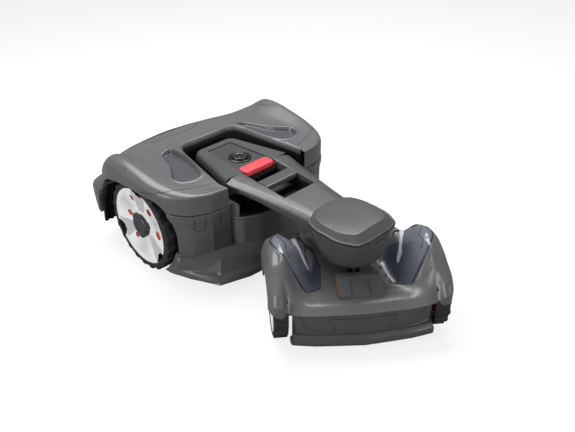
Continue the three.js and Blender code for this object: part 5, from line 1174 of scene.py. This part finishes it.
def insert_grid(wheel):
    """The orange ring: it follows the disc's dish four to eight millimetres behind it, in waves."""
    share, drop = RING_PROFILE[:, :1], RING_PROFILE[:, 1:]
    angle = np.linspace(0, 2 * math.pi, 180, endpoint=False)[None]
    w = wheel["width"] - DISC_INSET + dish(share) - drop + 0.3 * np.cos(6 * angle)
    return w, rim_radius(wheel) * share, angle + 0 * share


for wheel in WHEELS:
    for side, name in SIDES:
        tag = f"{wheel['end']}_{name}"
        wheel_skin(wheel, side, f"insert_{tag}_face", insert_grid(wheel), "orange", 0.0,
                   f"insert_ring_{tag}")
        wheel_skin(wheel, side, f"cap_{tag}_dome", cap_grid(wheel), "cap", 0.0, f"hub_cap_{tag}", sharp=50)
print("wheels:", len(WHEELS) * len(SIDES))

# %% [markdown]
# ## Controls
# The red stop button is a softened slab that crowns towards its middle. The dial is a turned knob in
# a ring; four dots mark its quarters.

# %% Stop button and dial
STOP_X, STOP_FRONT, STOP_REAR = 46.0, 163.0, 130.0
STOP_ROWS = [(1, 1, 236.7), (1, 1, 245.6), (0.985, 0.955, 247.6), (0.95, 0.88, 248.9), (0.85, 0.7, 249.4),
             (0.4, 0.3, 249.6), (0.02, 0.02, 249.6)]
KNOB_PROFILE = [[0.3, 243.4], [21.0, 243.4], [21.2, 248], [18.6, 250.6], [14, 250.9], [11.5, 249.6],
                [0.3, 249.2]]
DOT_PROFILE = [[2.6, 0.0], [2.5, 0.7], [1.6, 1.1], [0.05, 1.2]]
DIAL_Y, DOT_REACH = -84, 14.8
QUARTERS = np.radians([45.0, 135.0, 225.0, 315.0])
stop_plan = soften([[-STOP_X, -STOP_FRONT], [STOP_X, -STOP_FRONT], [STOP_X, -STOP_REAR],
                    [-STOP_X, -STOP_REAR]], 9, 8)
stop_middle = stop_plan.mean(0)
stop = np.stack([at_height(stop_middle + (stop_plan - stop_middle) * (x_scale, y_scale), height)
                 for x_scale, y_scale, height in STOP_ROWS])
skin("stop_pad", stop, "stop", "stop_red", [0, -146, 240], ["stop_button"], ring=True, caps=True, sharp=50)
knob = revolve(soften(KNOB_PROFILE, 1.2, 4, closed=False), 96) + (0, DIAL_Y, 0)
skin("dial_top", knob, "dial", "black_gloss", [0, DIAL_Y, 246], ["dial_knob"], loop=True, sharp=50)
dot = revolve(soften(DOT_PROFILE, 0.5, 3, closed=False), 40)
for number, quarter in enumerate(QUARTERS):
    dot_x, dot_y = DOT_REACH * math.cos(quarter), DIAL_Y + DOT_REACH * math.sin(quarter)
    skin(f"dial_dot_{number + 1}", dot + (dot_x, dot_y, 250.5), "dial", "cap", [dot_x, dot_y, 249],
         loop=True, sharp=60)
print("dial dots:", len(QUARTERS))

# %% [markdown]
# ## Studio
# A white floor and white surroundings. The floor glows for the camera alone and the surroundings glow
# mostly for it, so that both look white while the floor still takes a soft shadow.

# %% Floor and surroundings
ROOM_HALF, FLOOR_GREY, FLOOR_GLOW = 6, (0.24, 0.24, 0.245, 1), 0.79
WHITE = (1, 1, 1, 1)


def camera_glow(tree, socket, extra, base):
    """Strength = base, plus extra where the ray comes from the camera itself."""
    paths = tree.nodes.new("ShaderNodeLightPath")
    glow = tree.nodes.new("ShaderNodeMath")
    glow.operation = "MULTIPLY_ADD"
    glow.inputs[1].default_value = extra
    glow.inputs[2].default_value = base
    tree.links.new(paths.outputs["Is Camera Ray"], glow.inputs[0])
    tree.links.new(glow.outputs[0], socket)


floor_mesh = bpy.data.meshes.new("studio_floor")
floor_corners = [(x * ROOM_HALF, y * ROOM_HALF, 0) for x, y in ((-1, -1), (1, -1), (1, 1), (-1, 1))]
floor_mesh.from_pydata(floor_corners, [], [(0, 1, 2, 3)])
floor = bpy.data.objects.new("studio_floor", floor_mesh)
bpy.context.scene.collection.objects.link(floor)
paper = bpy.data.materials.new("white_paper")
paper.use_nodes = True
diffuse = paper.node_tree.nodes["Principled BSDF"]
diffuse.inputs["Base Color"].default_value = FLOOR_GREY
diffuse.inputs["Roughness"].default_value = 1.0
diffuse.inputs["Specular IOR Level"].default_value = 0.0
diffuse.inputs["Emission Color"].default_value = WHITE
camera_glow(paper.node_tree, diffuse.inputs["Emission Strength"], FLOOR_GLOW, 0.0)
floor_mesh.materials.append(paper)
world = bpy.data.worlds.new("studio")
bpy.context.scene.world = world
world.use_nodes = True
sky = world.node_tree.nodes["Background"]
sky.inputs["Color"].default_value = WHITE
camera_glow(world.node_tree, sky.inputs["Strength"], 0.70, 0.30)
print("floor:", 2 * ROOM_HALF, "m wide")

# %% [markdown]
# A broad lamp overhead gives the even light on the shells, and two narrow ones, at the mower's right
# and in front of it, lighten the sides that the camera sees.

# %% Lamps
def lamp(name, place, target, size, watts):
    """A rectangular area lamp at a place, turned so that it shines on the target."""
    data = bpy.data.lights.new(name, "AREA")
    data.shape = "RECTANGLE"
    data.size, data.size_y = size
    data.energy = watts
    lamp_object = bpy.data.objects.new(name, data)
    bpy.context.scene.collection.objects.link(lamp_object)
    way = Vector(target) - Vector(place)
    lamp_object.rotation_euler = way.to_track_quat("-Z", "Y").to_euler()
    lamp_object.location = place


lamp("overhead", (0.3, 0.8, 2.0), (0, 0, 0.2), (2.4, 0.9), 56)
lamp("left_soft", (-2.2, 0.2, 0.8), (0, 0, 0.10), (0.5, 1.6), 24)
lamp("front_soft", (0.5, -2.4, 0.7), (0, -0.1, 0.1), (1.6, 0.4), 16)
print("lamps:", len(bpy.data.lights))

# %% [markdown]
# The camera was fitted to the photograph: its place, its direction and its lens make the mower's
# known sizes fall where the photograph has them.

# %% Camera
CAMERA_PLACE = Vector((-0.909, -0.9471, 0.974))
CAMERA_WAY = Vector((0.594, 0.596, -0.541)).normalized()
camera_data = bpy.data.cameras.new("camera")
camera_data.sensor_width = 36
camera_data.lens = 39.13
camera = bpy.data.objects.new("camera", camera_data)
bpy.context.scene.collection.objects.link(camera)
bpy.context.scene.camera = camera
aim = CAMERA_WAY.to_track_quat("-Z", "Y").to_matrix().to_4x4()
camera.matrix_world = Matrix.Translation(CAMERA_PLACE) @ aim
bpy.context.scene.view_settings.view_transform = "Standard"
print("camera:", tuple(CAMERA_PLACE))
